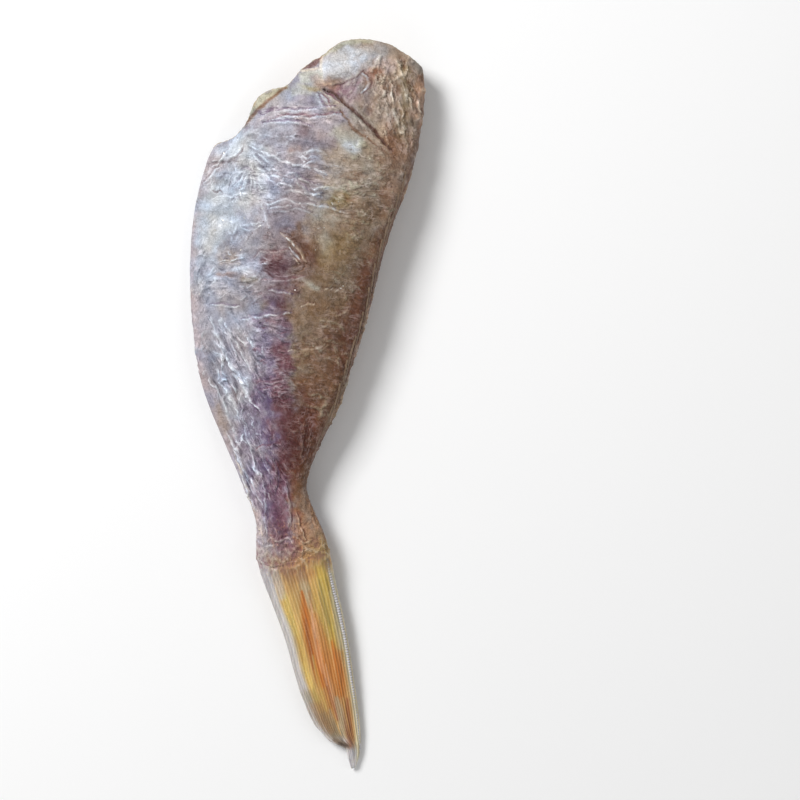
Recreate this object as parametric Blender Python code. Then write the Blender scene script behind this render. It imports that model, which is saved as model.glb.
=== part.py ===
"""A dried threadfin bream, headed and gutted, lying on its right side.

Metres, +Z up. The cut end points to +Y, the tail to -Y, the belly edge to -X and the back to +X.
The origin lies under the middle of the fish's box, on the surface that it rests on.

The fish is one solid. Rings of points, each going over the upper side from the belly edge to the
back edge and back along the underside, are lofted from the cut end to the tip of the tail. The
upper side has more columns of points than the underside, because it carries the creases.
"""

import math

import bpy
import numpy as np

MM = 0.001

# ---- the outline, seen from above, in millimetres -----------------------------------------------
BELLY_EDGE = ((-24.0, 58.8), (-26.8, 49.5), (-28.4, 34.4), (-27.6, 19.0), (-25.3, 5.2), (-20.4, -7.2),
              (-15.4, -18.4), (-12.2, -27.4), (-12.3, -34.4))
BACK_EDGE = ((27.9, 80.6), (28.3, 74.8), (27.2, 64.5), (23.6, 51.0), (20.6, 43.2), (17.9, 34.4),
             (14.3, 20.4), (11.1, 10.9), (7.4, -0.4), (2.1, -11.0), (-0.1, -18.4), (1.7, -24.2),
             (4.2, -29.8), (5.6, -34.8))
CUT_EDGE = ((-24.0, 58.8), (-21.2, 63.2), (-18.8, 63.7), (-14.2, 68.2), (-12.4, 72.8), (-8.6, 75.6),
            (-4.8, 75.9), (-1.6, 79.6), (1.4, 82.1), (3.9, 82.9), (7.4, 85.8), (15.8, 86.6),
            (18.6, 86.2), (23.9, 83.4), (27.9, 80.6))
SKIN_END = ((-12.3, -34.4), (-10.8, -36.4), (-8.2, -37.1), (-4.2, -36.4), (-1.4, -35.9), (1.6, -34.3),
            (4.0, -33.7), (5.6, -34.8))
TAIL_LOWER_EDGE = ((-12.3, -34.4), (-11.4, -38.4), (-8.9, -45.4), (-5.3, -55.4), (-2.6, -65.2),
                   (2.1, -76.2), (6.0, -80.0), (8.9, -81.0), (9.6, -84.0), (10.4, -86.4))
TAIL_UPPER_EDGE = ((5.6, -34.8), (7.0, -42.0), (9.4, -53.6), (11.1, -65.0), (12.1, -72.6),
                   (12.6, -79.4), (12.3, -83.0), (11.4, -86.0))
CUT_REACH = 0.36  # how far down the body the rows still follow the cut, as a share of its length
SKIN_END_REACH = 0.12  # the same for the skin's end at the tail, to both sides

# ---- thickness and height above the table, in millimetres -----------------------------------------
# (share of the body's length from the cut end, thickness of the back muscle)
BODY_THICKNESS = ((0.0, 10.0), (0.12, 13.2), (0.35, 15.4), (0.6, 12.8), (0.8, 9.2), (0.94, 7.0), (1.0, 6.2))
TAIL_THICKNESS = ((0.0, 4.0), (0.1, 3.1), (0.4, 2.1), (0.8, 1.4), (1.0, 0.9))
TAIL_HEIGHT = ((0.0, 4.6), (0.15, 4.3), (0.5, 3.3), (0.8, 2.2), (1.0, 1.4))
BELLY_RIM_HEIGHT = ((0.0, 4.2), (0.2, 3.2), (0.45, 4.0), (0.7, 3.6), (1.0, 4.7))
BACK_RIM_HEIGHT = ((0.0, 6.2), (0.3, 6.9), (0.6, 6.2), (0.85, 5.2), (1.0, 4.7))
BELLY_SHARE = 0.30  # the emptied belly's thickness, as a share of the back muscle's
UPPER_SHARE = 0.54  # of the thickness, above the middle plane
REST_BLEND = 0.35  # the underside is flattened on the table over this height

# ---- the cut end ------------------------------------------------------------------------------------
WALL = 1.1  # skin and belly wall round the cut
FLESH_SUNK = 1.3  # dried flesh lies this far behind the skin's edge
CAVITY_DEPTH = 6.5  # the emptied belly, seen between its two walls
CAVITY_SPAN = (0.10, 0.46)  # from the belly edge, as a share of the cut
# (share of the depth, share of the wall, share of the half height), from the flesh outwards
CUT_RINGS = ((0.62, 1.0, 0.36), (1.0, 0.95, 0.88), (0.5, 1.0, 0.97), (0.0, 1.0, 1.0))

# ---- the tail ---------------------------------------------------------------------------------------
RAY_BUNDLES = 7
RAY_HEIGHT = 0.17
LOBE_STEP = 0.5  # the lower lobe lies this far under the upper one
LOBE_LINE = ((0.0, 0.97), (0.25, 0.90), (0.65, 0.74), (0.9, 0.56), (0.955, 0.40), (1.0, -0.6))

# ---- creases, folds and plates of the upper side, in millimetres --------------------------------------
# (line, width, depth); a depth below nothing is a ridge
CREASES = (
    (((4.0, 74.4), (8.2, 72.8), (12.2, 69.6), (15.5, 65.8), (18.6, 62.3), (21.2, 60.2)), 1.05, 1.5),
    (((8.7, 68.4), (11.3, 65.1), (14.1, 63.1), (16.7, 61.6)), 1.0, 0.7),
    (((-14.4, 68.4), (-12.0, 70.8), (-8.6, 73.6), (-5.0, 75.3)), 1.0, 1.2),
    (((4.2, 74.7), (7.0, 76.2), (10.3, 76.9), (13.0, 78.8)), 1.0, 0.8),
    (((-9.7, 47.6), (-5.2, 49.0), (-0.1, 48.0), (3.2, 47.0)), 1.1, 0.7),
    (((-4.7, 40.5), (-2.6, 37.9), (-0.1, 34.2), (-1.4, 31.6)), 1.1, 1.1),
    (((-13.2, 57.6), (-12.4, 54.2), (-9.4, 50.6)), 1.0, 0.7),
    (((-19.0, 42.4), (-14.6, 41.5), (-10.6, 41.6)), 1.0, 0.6),
    (((-15.2, 21.6), (-9.2, 22.2), (-3.4, 21.2)), 1.0, 0.6),
    (((-7.6, 12.0), (-3.4, 6.0), (1.0, -1.6), (0.8, -8.0)), 1.2, 0.7),
    (((-17.6, 10.0), (-14.6, 0.6), (-11.4, -8.0)), 1.0, 0.7),
    (((25.6, 66.0), (21.6, 52.0), (15.9, 35.0), (11.9, 19.0), (6.2, 2.8), (1.4, -8.6)), 0.9, -0.55),
)
# (centre, radii, height)
SWELLINGS = (
    ((0.6, 81.0), (2.3, 2.0), -2.1),
    ((8.3, 74.6), (2.9, 1.5), -0.8),
    ((-4.9, 31.3), (5.0, 4.2), -0.9),
    ((-4.1, 1.6), (4.2, 4.2), -0.7),
    ((5.0, 33.0), (6.5, 9.0), -0.8),
    ((11.3, 60.8), (2.6, 1.5), 0.5),
    ((-14.0, 55.0), (6.0, 4.0), 0.7),
    ((-9.0, -30.5), (3.0, 3.4), 0.6),
    ((2.0, 27.6), (2.6, 2.6), 0.5),
    ((-18.5, 27.0), (3.6, 5.2), 0.6),
)
# (corners of a convex plate, height, softness of its edge)
PLATES = (
    (((3.9, 76.2), (4.0, 83.4), (7.4, 89.0), (18.0, 89.0), (16.0, 81.6), (10.3, 77.4), (7.0, 76.2)), 0.9, 1.0),
    (((-2.0, 78.6), (1.0, 80.0), (3.8, 79.4), (3.8, 74.8), (0.4, 74.2), (-1.6, 75.4)), 0.6, 0.8),
)

# ---- how finely the solid is faceted --------------------------------------------------------------------
UPPER_COLUMNS = 33
UNDER_COLUMNS = 17
BODY_ROWS = 76
TAIL_ROWS = 31


def smooth(low, high, value):
    """0 below low, 1 above high, and an S-curve between them."""
    share = np.clip((value - low) / (high - low), 0.0, 1.0)
    return share * share * (3.0 - 2.0 * share)


def hermite(at, values, where):
    """The smooth curve through values given at the places at, read at where."""
    slopes = np.gradient(values, at, axis=0)
    index = np.clip(np.searchsorted(at, where, side="right") - 1, 0, len(at) - 2)
    span = at[index + 1] - at[index]
    s = (where - at[index]) / span
    if values.ndim == 2:
        s, span = s[..., None], span[..., None]
    return (
        (2 * s**3 - 3 * s**2 + 1) * values[index]
        + (s**3 - 2 * s**2 + s) * slopes[index] * span
        + (3 * s**2 - 2 * s**3) * values[index + 1]
        + (s**3 - s**2) * slopes[index + 1] * span
    )


def through(points, share):
    """The smooth curve through the points, at shares of its length from 0 to 1."""
    points = np.asarray(points, float)
    steps = np.linalg.norm(np.diff(points, axis=0), axis=1)
    at = np.concatenate([[0.0], np.cumsum(steps)])
    return hermite(at, points, np.clip(np.asarray(share, float), 0.0, 1.0) * at[-1])


def profile(pairs, share):
    """A smooth value along the fish, from pairs of (share of the length, value)."""
    at, values = np.array(pairs, float).T
    return hermite(at, values, np.clip(np.asarray(share, float), at[0], at[-1]))


# ---- relief of the dried skin -------------------------------------------------------------------------


def crease(x, y, line, width, depth):
    """A groove along a line of points, shallower towards both ends."""
    line = np.asarray(line, float)
    nearest = np.full(np.shape(x), np.inf)
    along = np.zeros(np.shape(x))
    for number, (start, end) in enumerate(zip(line[:-1], line[1:])):
        step = end - start
        share = np.clip(((x - start[0]) * step[0] + (y - start[1]) * step[1]) / (step @ step), 0.0, 1.0)
        away = np.hypot(x - start[0] - share * step[0], y - start[1] - share * step[1])
        closer = away < nearest
        nearest = np.where(closer, away, nearest)
        along = np.where(closer, (number + share) / (len(line) - 1), along)
    fade = 0.35 + 0.65 * np.sin(math.pi * along)
    return -depth * fade * np.exp(-((nearest / width) ** 2))


def swelling(x, y, centre, radii, height):
    """A soft rise, or a hollow where height is below nothing."""
    away = ((x - centre[0]) / radii[0]) ** 2 + ((y - centre[1]) / radii[1]) ** 2
    return height * np.exp(-away)


def plate(x, y, corners, height, softness):
    """A raised convex plate with an edge that falls off over twice its softness."""
    inside = np.full(np.shape(x), np.inf)
    corners = np.asarray(corners, float)
    turn = np.sign(np.cross(corners[1] - corners[0], corners[2] - corners[1]))
    for start, end in zip(corners, np.roll(corners, -1, axis=0)):
        step = (end - start) / np.linalg.norm(end - start)
        inside = np.minimum(inside, turn * (step[0] * (y - start[1]) - step[1] * (x - start[0])))
    return height * smooth(-softness, softness, inside)


def folds(x, y, spacing, heading, spread, seed, waves=16):
    """Uneven folds, about -1 to 1, whose crests run along heading, in degrees from +X."""
    draw = np.random.default_rng(seed)
    turned = np.radians(heading + 90.0 + spread * draw.uniform(-1.0, 1.0, waves))
    length = spacing * draw.uniform(0.75, 1.45, waves)
    phase = draw.uniform(0.0, 2.0 * math.pi, waves)
    total = np.zeros(np.shape(x))
    for angle, wave, start in zip(turned, length, phase):
        total += np.sin(2.0 * math.pi * (x * math.cos(angle) + y * math.sin(angle)) / wave + start)
    return total / math.sqrt(waves)


def upper_relief(x, y, across):
    """What the dried skin of the upper side adds to its height. across is 0 at the belly, 1 at the back."""
    belly = 1.0 - smooth(0.30, 0.72, across)
    shoulder = smooth(38.0, 56.0, y)
    lower_body = 1.0 - smooth(22.0, 42.0, y)
    added = 0.40 * belly * lower_body * folds(x, y, 5.4, 112.0, 24.0, seed=3)
    added += 0.30 * belly * (1.0 - lower_body) * (1.0 - shoulder) * folds(x, y, 5.0, 150.0, 60.0, seed=6)
    added += (0.16 + 0.20 * belly) * shoulder * folds(x, y, 4.8, 16.0, 26.0, seed=5)
    added += 0.14 * (1.0 - belly) * folds(x, y, 7.5, 40.0, 70.0, seed=8)
    for line, width, depth in CREASES:
        added += crease(x, y, line, width, depth)
    for centre, radii, height in SWELLINGS:
        added += swelling(x, y, centre, radii, height)
    for corners, height, softness in PLATES:
        added += plate(x, y, corners, height, softness)
    return added


def under_relief(x, y, across):
    """The same for the underside."""
    belly = 1.0 - smooth(0.30, 0.72, across)
    return (0.10 + 0.24 * belly) * folds(x, y, 6.5, 100.0, 35.0, seed=11)


# ---- the rows of points --------------------------------------------------------------------------------


def columns(count):
    """Shares across the fish, from the belly edge to the back edge, closer together at the edges."""
    even = np.linspace(0.0, 1.0, count + 1)
    rounded = 0.5 - 0.5 * np.cos(math.pi * even)
    return 0.55 * even + 0.45 * rounded


def bent(across, edge):
    """How far an uneven edge lies from the straight line between its ends."""
    share = across[:, None]
    return through(edge, across) - np.array(edge[0]) * (1.0 - share) - np.array(edge[-1]) * share


def fading(distance, reach):
    """1 at no distance, and nothing from reach on."""
    return max(0.0, 1.0 - distance / reach) ** 2


def body_plan(along, across):
    """(x, y) of points of the body. along runs from the cut end, across from the belly edge."""
    share = across[:, None]
    row = through(BELLY_EDGE, along) * (1.0 - share) + through(BACK_EDGE, along) * share
    row = row + fading(along, CUT_REACH) * bent(across, CUT_EDGE)
    return row + fading(1.0 - along, SKIN_END_REACH) * bent(across, SKIN_END)


def tail_plan(along, across):
    """(x, y) of points of the tail fin. along runs from the skin's end to the tip."""
    share = across[:, None]
    row = through(TAIL_LOWER_EDGE, along) * (1.0 - share) + through(TAIL_UPPER_EDGE, along) * share
    return row + fading(along, SKIN_END_REACH) * bent(across, SKIN_END)


def body_heights(along, across, x, y):
    """The heights of the upper side and of the underside at one row of the body."""
    emptied = 1.0 - smooth(0.62, 0.92, along)
    muscle = 1.0 - emptied * (1.0 - BELLY_SHARE) * (1.0 - smooth(0.06, 0.60, across))
    rounding = np.sqrt(np.clip(1.0 - np.abs(2.0 * across - 1.0) ** 2.6, 0.0, 1.0))
    full = profile(BODY_THICKNESS, along) * muscle * rounding
    middle = profile(BELLY_RIM_HEIGHT, along) * (1.0 - across) + profile(BACK_RIM_HEIGHT, along) * across
    inside = smooth(0.0, 0.08, across) * smooth(0.0, 0.05, 1.0 - across)
    upper = middle + UPPER_SHARE * full + inside * upper_relief(x, y, across)
    under = middle - (1.0 - UPPER_SHARE) * full + inside * under_relief(x, y, across)
    return upper, rested(under)


def tail_heights(along, across):
    """The heights of the upper side and of the underside at one row of the tail fin."""
    blade = np.clip(1.0 - np.abs(2.0 * across - 1.0) ** 5.0, 0.0, 1.0) ** 0.5
    full = profile(TAIL_THICKNESS, along) * blade
    beside = smooth(-0.05, 0.05, across - profile(LOBE_LINE, along))
    middle = profile(TAIL_HEIGHT, along) + 0.6 * np.sin(math.pi * across) * (1.0 - along)
    middle = middle - LOBE_STEP * beside * smooth(0.0, 0.2, along)
    rays = RAY_HEIGHT * np.cos(2.0 * math.pi * RAY_BUNDLES * across) * blade
    rays *= smooth(0.0, 0.12, along) * (1.0 - 0.6 * along)
    return middle + 0.5 * full + rays, rested(middle - 0.5 * full + rays)


def rested(height):
    """The underside's height, flattened where it would reach below the table."""
    near = (height + REST_BLEND) ** 2 / (4.0 * REST_BLEND)
    return np.where(height <= -REST_BLEND, 0.0, np.where(height >= REST_BLEND, height, near))


def ring(upper, under):
    """One closed row: over the upper side to the back edge, then back along the underside."""
    return np.vstack([upper, under[-2:0:-1]])


def body_ring(along):
    """One ring round the body."""
    sides = []
    for side, count in enumerate((UPPER_COLUMNS, UNDER_COLUMNS)):
        across = columns(count)
        x, y = body_plan(along, across).T
        sides.append(np.column_stack([x, y, body_heights(along, across, x, y)[side]]))
    return ring(*sides)


def tail_ring(along):
    """One ring round the tail fin."""
    sides = []
    for side, count in enumerate((UPPER_COLUMNS, UNDER_COLUMNS)):
        across = columns(count)
        sides.append(np.column_stack([tail_plan(along, across), tail_heights(along, across)[side]]))
    return ring(*sides)


def cut_ring(sunk, wall_share, reach_share):
    """One ring inside the cut end, by its shares of the depth, of the wall and of the half height."""
    sides = []
    for side, count in enumerate((UPPER_COLUMNS, UNDER_COLUMNS)):
        across = columns(count)
        x, y = body_plan(0.0, across).T
        upper, under = body_heights(0.0, across, x, y)
        half = (upper - under) / 2.0
        reach = reach_share * (half - np.minimum(WALL, 0.45 * half) * wall_share)
        height = (upper + under) / 2.0 + (reach if side == 0 else -reach)
        cavity = smooth(CAVITY_SPAN[0] - 0.05, CAVITY_SPAN[0] + 0.05, across)
        cavity *= 1.0 - smooth(CAVITY_SPAN[1] - 0.05, CAVITY_SPAN[1] + 0.05, across)
        depth = FLESH_SUNK + (CAVITY_DEPTH - FLESH_SUNK) * cavity
        depth += 0.3 * folds(x, y, 4.0, 45.0, 80.0, seed=13)
        depth *= smooth(0.0, 0.05, across) * smooth(0.0, 0.05, 1.0 - across) * sunk
        inset = 0.04 + 0.92 * across
        lip = body_plan(0.0, inset)
        inward = body_plan(0.1, inset) - lip
        inward /= np.linalg.norm(inward, axis=1)[:, None]
        sides.append(np.column_stack([lip + inward * depth[:, None], height]))
    return ring(*sides)


def fish_rings():
    """Every ring of the solid, from inside the cut end to the tip of the tail."""
    found = [cut_ring(*shares) for shares in CUT_RINGS]
    found += [body_ring((number / BODY_ROWS) ** 1.08) for number in range(BODY_ROWS + 1)]
    found += [tail_ring(0.015 + 0.985 * (number / TAIL_ROWS) ** 0.95) for number in range(TAIL_ROWS + 1)]
    return found


def end_faces(first, turned):
    """Triangles that close one end of the loft, from its upper columns to its under columns."""
    around = UPPER_COLUMNS + UNDER_COLUMNS
    upper = list(range(UPPER_COLUMNS + 1))
    under = [0] + list(range(around - 1, UPPER_COLUMNS - 1, -1))
    upper_at, under_at = columns(UPPER_COLUMNS), columns(UNDER_COLUMNS)
    faces = []
    i, j = 0, 0
    while i < UPPER_COLUMNS or j < UNDER_COLUMNS:
        step_upper = j == UNDER_COLUMNS or (i < UPPER_COLUMNS and upper_at[i + 1] <= under_at[j + 1])
        corners = [upper[i], under[j], upper[i + 1] if step_upper else under[j + 1]]
        i, j = (i + 1, j) if step_upper else (i, j + 1)
        if len(set(corners)) == 3:
            faces.append(tuple(first + corner for corner in (corners[::-1] if turned else corners)))
    return faces


def loft(rings):
    """Points and faces of a closed skin over the rings."""
    around = len(rings[0])
    faces = []
    for row in range(len(rings) - 1):
        near, far = row * around, (row + 1) * around
        for column in range(around):
            beside = (column + 1) % around
            faces.append((near + column, far + column, far + beside, near + beside))
    faces += end_faces(0, turned=True)
    faces += end_faces((len(rings) - 1) * around, turned=False)
    return np.vstack(rings) * MM, faces


def dried_skin():
    """The plain material of the solid."""
    material = bpy.data.materials.new("dried_skin")
    material.use_nodes = True
    shader = material.node_tree.nodes["Principled BSDF"]
    shader.inputs["Base Color"].default_value = (0.42, 0.36, 0.33, 1.0)
    shader.inputs["Roughness"].default_value = 0.45
    shader.inputs["Metallic"].default_value = 0.0
    return material


def clear_scene():
    """Removes the objects that the file starts with."""
    for thing in list(bpy.data.objects):
        bpy.data.objects.remove(thing, do_unlink=True)


def build():
    """Makes the fish as one object, placed as it rests."""
    clear_scene()
    points, faces = loft(fish_rings())
    low, high = points.min(axis=0), points.max(axis=0)
    points -= np.array([(low[0] + high[0]) / 2.0, (low[1] + high[1]) / 2.0, low[2]])
    mesh = bpy.data.meshes.new("dried_fish")
    mesh.from_pydata(points.tolist(), [], faces)
    mesh.shade_smooth()
    mesh.set_sharp_from_angle(angle=math.radians(50.0))
    mesh.materials.append(dried_skin())
    fish = bpy.data.objects.new("dried_fish", mesh)
    bpy.context.scene.collection.objects.link(fish)


build()
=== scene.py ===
"""The dressed scene of a dried threadfin bream: skin, fin rays, spines and flakes, on a pale floor.

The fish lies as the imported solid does: cut end to +Y, tail to -Y, belly edge to -X, back to +X.
Lengths are millimetres in the classes' fields and metres in the meshes.
"""

from __future__ import annotations

import logging
import math
from dataclasses import dataclass, field
from enum import Enum

import bmesh
import bpy
import numpy as np
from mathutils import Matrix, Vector
from mathutils.bvhtree import BVHTree

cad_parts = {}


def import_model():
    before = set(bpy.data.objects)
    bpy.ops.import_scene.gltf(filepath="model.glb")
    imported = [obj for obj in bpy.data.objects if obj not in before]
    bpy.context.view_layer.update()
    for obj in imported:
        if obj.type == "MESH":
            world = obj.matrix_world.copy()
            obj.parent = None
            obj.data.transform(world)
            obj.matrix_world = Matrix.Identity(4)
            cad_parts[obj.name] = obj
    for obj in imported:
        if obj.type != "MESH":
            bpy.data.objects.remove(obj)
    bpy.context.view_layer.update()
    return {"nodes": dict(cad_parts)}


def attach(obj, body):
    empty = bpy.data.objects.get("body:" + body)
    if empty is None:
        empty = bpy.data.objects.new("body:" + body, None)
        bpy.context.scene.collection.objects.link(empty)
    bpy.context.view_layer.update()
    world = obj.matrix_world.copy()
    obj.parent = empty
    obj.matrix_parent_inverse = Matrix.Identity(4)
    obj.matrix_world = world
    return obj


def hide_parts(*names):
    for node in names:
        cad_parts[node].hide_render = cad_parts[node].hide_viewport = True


MM = 0.001
NODE = "dried_fish"
BODY = "root"
LOG = logging.getLogger("dried_bream")

Point2 = tuple[float, float]
Point3 = tuple[float, float, float]
Node = bpy.types.Node
Source = bpy.types.NodeSocket | Node  # what can feed a node's input


# ---- colours ------------------------------------------------------------------------------------


class Tone(Enum):
    """The colours of a dried bream, and of the light and shade painted on it, as sRGB hex values."""

    # painted highlight: the near white on wrinkle crests, and painted sheen on the plate and the silver
    HIGHLIGHT_ICE = "#DEE8F2"
    SILVER = "#A8AFB8"
    PEWTER = "#9C9DA8"
    LAVENDER = "#9A949D"
    DOVE = "#817D84"
    # painted shade beside and between wrinkles; also one darker patch on the lower belly
    SHADE_SLATE = "#7E7C8A"
    MAUVE = "#73686F"
    DUSTY_PINK = "#B2A4A7"
    VIOLET_BLUE = "#6B5F75"
    VIOLET = "#584260"
    PLUM = "#774751"
    MAROON = "#4D272B"
    WINE_BROWN = "#542920"
    PLATE_GREY = "#CCCBCC"
    BONE = "#B2AF98"
    CREAM = "#E4D9C6"
    PALE_SAGE = "#B4B5AC"
    OLIVE = "#998A7A"
    MOSS = "#7D7157"
    OCHRE = "#836F46"
    SAND = "#A18C7C"
    KHAKI = "#755D46"
    UMBER = "#704C33"
    CHESTNUT = "#5C3122"
    MAHOGANY = "#73492F"
    RUST = "#95532F"
    # painted shade in creases, valleys and pits, and beside wrinkles
    SHADE_BROWN = "#54362B"
    # painted shadow in the fork of the tail and beside a line of the back fin
    DEEP_SHADOW = "#33241F"
    STRAW = "#E6C66E"
    MUSTARD = "#C8AD4B"
    HONEY = "#B07040"
    AMBER = "#C47F3C"
    ORANGE = "#CB6D20"
    SALMON = "#E5AF8B"
    FIN_TAN = "#CBA062"
    FIN_WHITE = "#CFCCCF"
    FIN_BONE = "#D3CAAC"
    FIN_GREY = "#B9AB92"
    FLESH = "#8A6140"
    FLESH_DARK = "#4D3021"
    FLOOR = "#FAFAFA"

    @property
    def rgb(self) -> np.ndarray:
        """The tone's three sRGB channels, 0 to 1."""
        code = self.value.lstrip("#")
        return np.array([int(code[at : at + 2], 16) / 255.0 for at in (0, 2, 4)])

    @property
    def linear(self) -> tuple[float, float, float, float]:
        """The tone as the linear colour that a shader socket takes."""
        red, green, blue = to_linear(self.rgb)
        return float(red), float(green), float(blue), 1.0


def to_linear(srgb: np.ndarray) -> np.ndarray:
    """Turns sRGB channels into linear ones.

    Args:
        srgb: channels from 0 to 1, in any shape.

    Returns:
        The linear channels, in the same shape.
    """
    return np.where(srgb <= 0.04045, srgb / 12.92, ((np.maximum(srgb, 0.0) + 0.055) / 1.055) ** 2.4)


# ---- noise and paths ----------------------------------------------------------------------------


def ease(low: float, high: float, value: np.ndarray) -> np.ndarray:
    """Gives 0 below low, 1 above high and an S-curve between them."""
    share = np.clip((value - low) / (high - low), 0.0, 1.0)
    return share * share * (3.0 - 2.0 * share)


class Grain:
    """Seeded gradient noise, for whatever dries unevenly."""

    def __init__(self, seed: int) -> None:
        """Shuffles the lattice that the noise hangs on.

        Args:
            seed: the same seed gives the same noise in every run.
        """
        random = np.random.default_rng(seed)
        self.order = random.permutation(256)
        slopes = random.normal(size=(256, 3))
        self.slopes = slopes / np.linalg.norm(slopes, axis=1, keepdims=True)

    def at(self, points: np.ndarray) -> np.ndarray:
        """Reads one layer of noise.

        Args:
            points: places, one lattice cell to the unit, as rows of three.

        Returns:
            About -1 to 1 at each place.
        """
        cell = np.floor(points).astype(int)
        part = points - cell
        blend = part**3 * (part * (part * 6.0 - 15.0) + 10.0)
        total = np.zeros(len(points))
        for corner in range(8):
            step = np.array([(corner >> axis) & 1 for axis in range(3)])
            spot = (cell + step) & 255
            row = self.order[(self.order[spot[:, 0]] + spot[:, 1]) & 255]
            row = self.order[(row + spot[:, 2]) & 255]
            share = np.where(step == 1, blend, 1.0 - blend).prod(axis=1)
            total += share * (self.slopes[row] * (part - step)).sum(axis=1)
        return total * 1.7

    def layered(self, points: np.ndarray, layers: int = 3, fall: float = 0.5) -> np.ndarray:
        """Adds finer and weaker layers of noise.

        Args:
            points: places, one cell of the coarsest layer to the unit.
            layers: how many layers there are, each twice as fine.
            fall: the strength of each layer, as a share of the one before.

        Returns:
            About -1 to 1 at each place.
        """
        total = np.zeros(len(points))
        weight = 1.0
        for layer in range(layers):
            total += weight * self.at(points * 2.0**layer + 17.3 * layer)
            weight *= fall
        return total

    def creased(self, points: np.ndarray, layers: int = 3, fall: float = 0.55) -> np.ndarray:
        """Adds layers of sharp-crested noise, as in crumpled foil or shrunken skin.

        Args:
            points: places, one cell of the coarsest layer to the unit.
            layers: how many layers there are, each about twice as fine.
            fall: the strength of each layer, as a share of the one before.

        Returns:
            0 in the hollows to 1 on the crests, at each place.
        """
        total = np.zeros(len(points))
        weight = 1.0
        most = 0.0
        for layer in range(layers):
            noise = self.at(points * 2.03**layer + 11.9 * layer)
            crest = np.clip(1.0 - 1.9 * np.abs(noise), 0.0, 1.0)
            total += weight * crest**1.6
            most += weight
            weight *= fall
        return total / most


def smooth_path(points: np.ndarray, steps: int = 5) -> np.ndarray:
    """Runs a smooth curve through the points.

    Args:
        points: the rows that the curve passes, with any number of columns.
        steps: how many straight pieces each stretch gets.

    Returns:
        The rows of the curve.
    """
    if len(points) < 3:
        return points
    padded = np.vstack([2 * points[0] - points[1], points, 2 * points[-1] - points[-2]])
    share = np.linspace(0.0, 1.0, steps, endpoint=False)[:, None]
    rows = []
    for at in range(1, len(padded) - 2):
        a, b, c, d = padded[at - 1 : at + 3]
        bend = (2 * a - 5 * b + 4 * c - d) * share**2
        rows.append(0.5 * (2 * b + (c - a) * share + bend + (3 * b - a - 3 * c + d) * share**3))
    rows.append(points[-1:])
    return np.vstack(rows)


def unit_path(corners: tuple[Point2, ...]) -> np.ndarray:
    """Runs a smooth path of unit half width through the corners."""
    path = smooth_path(np.array(corners))
    return np.column_stack([path, np.ones(len(path))])


def beside_path(spots: np.ndarray, path: np.ndarray) -> tuple[np.ndarray, np.ndarray]:
    """Measures how places lie beside a path.

    Args:
        spots: places as rows of x and y.
        path: the path's corners as rows of x, y and half width.

    Returns:
        The distance as a share of the half width there, and the side: 1 on the left of the path
        and -1 on the right.
    """
    best = np.full(len(spots), np.inf)
    side = np.ones(len(spots))
    for start, end in zip(path[:-1], path[1:]):
        line = end[:2] - start[:2]
        offset = spots - start[:2]
        share = np.clip(offset @ line / max(float(line @ line), 1e-9), 0.0, 1.0)
        gap = offset - share[:, None] * line
        reach = np.hypot(gap[:, 0], gap[:, 1]) / (start[2] + share * (end[2] - start[2]))
        nearer = reach < best
        best[nearer] = reach[nearer]
        side[nearer] = np.sign(line[0] * gap[nearer, 1] - line[1] * gap[nearer, 0])
    return best, side


# ---- what lies on the skin ------------------------------------------------------------------------


STAIN_BEND = 0.42  # how far the noise bends a stain, as a share of its half width
STAIN_BEND_MOST = 1.5  # the same in millimetres, at most


@dataclass(frozen=True)
class Wash:
    """A soft-edged stain on the skin: a path of (x, y, half width), seen from above."""

    tone: Tone
    path: tuple[Point3, ...]
    strength: float = 0.85
    soft: float = 1.0  # the share of the half width over which it fades
    ragged: float = 0.4  # how far the noise pushes its edge

    def weight(self, spots: np.ndarray, push: np.ndarray, warp: np.ndarray) -> np.ndarray:
        """Works out how strongly the stain shows.

        Args:
            spots: places as rows of x and y.
            push: noise at the places, which frays the edge.
            warp: noise in x and y, which bends the whole stain out of shape.

        Returns:
            0 to the stain's strength at each place.
        """
        path = smooth_path(np.array(self.path, float))
        if len(path) == 1:
            path = np.vstack([path, path + (0.01, 0.0, 0.0)])
        widest = path[:, 2].max()
        spots = spots + min(STAIN_BEND * widest, STAIN_BEND_MOST) * warp
        wide = widest * 1.6
        low, high = path[:, :2].min(0) - wide, path[:, :2].max(0) + wide
        near = np.nonzero(((spots > low) & (spots < high)).all(axis=1))[0]
        shown = np.zeros(len(spots))
        reach = beside_path(spots[near], path)[0] + self.ragged * push[near]
        shown[near] = self.strength * (1.0 - ease(1.0 - self.soft, 1.0 + self.soft * 0.35, reach))
        return shown


@dataclass(frozen=True)
class FinWash(Wash):
    """A stain on the tail fin, drawn out along its rays."""

    ragged: float = 0.22
    both_sides: bool = True


@dataclass(frozen=True)
class Crinkle:
    """One wrinkle that stands out: a raised crest along a path, with a painted highlight on it and a painted
    shadow on one side.
    """

    path: tuple[Point2, ...]
    width: float = 0.55
    rise: float = 0.22  # below nothing it is a groove
    # light: the painted highlight on the crest, or a groove's painted shade; dark: the painted shadow beside
    # the crest
    light: Tone = Tone.HIGHLIGHT_ICE
    dark: Tone = Tone.SHADE_SLATE
    show: float = 0.8
    shadow: float = 0.6
    shadow_side: int = 1  # 1 on the left of the path, -1 on the right


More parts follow.
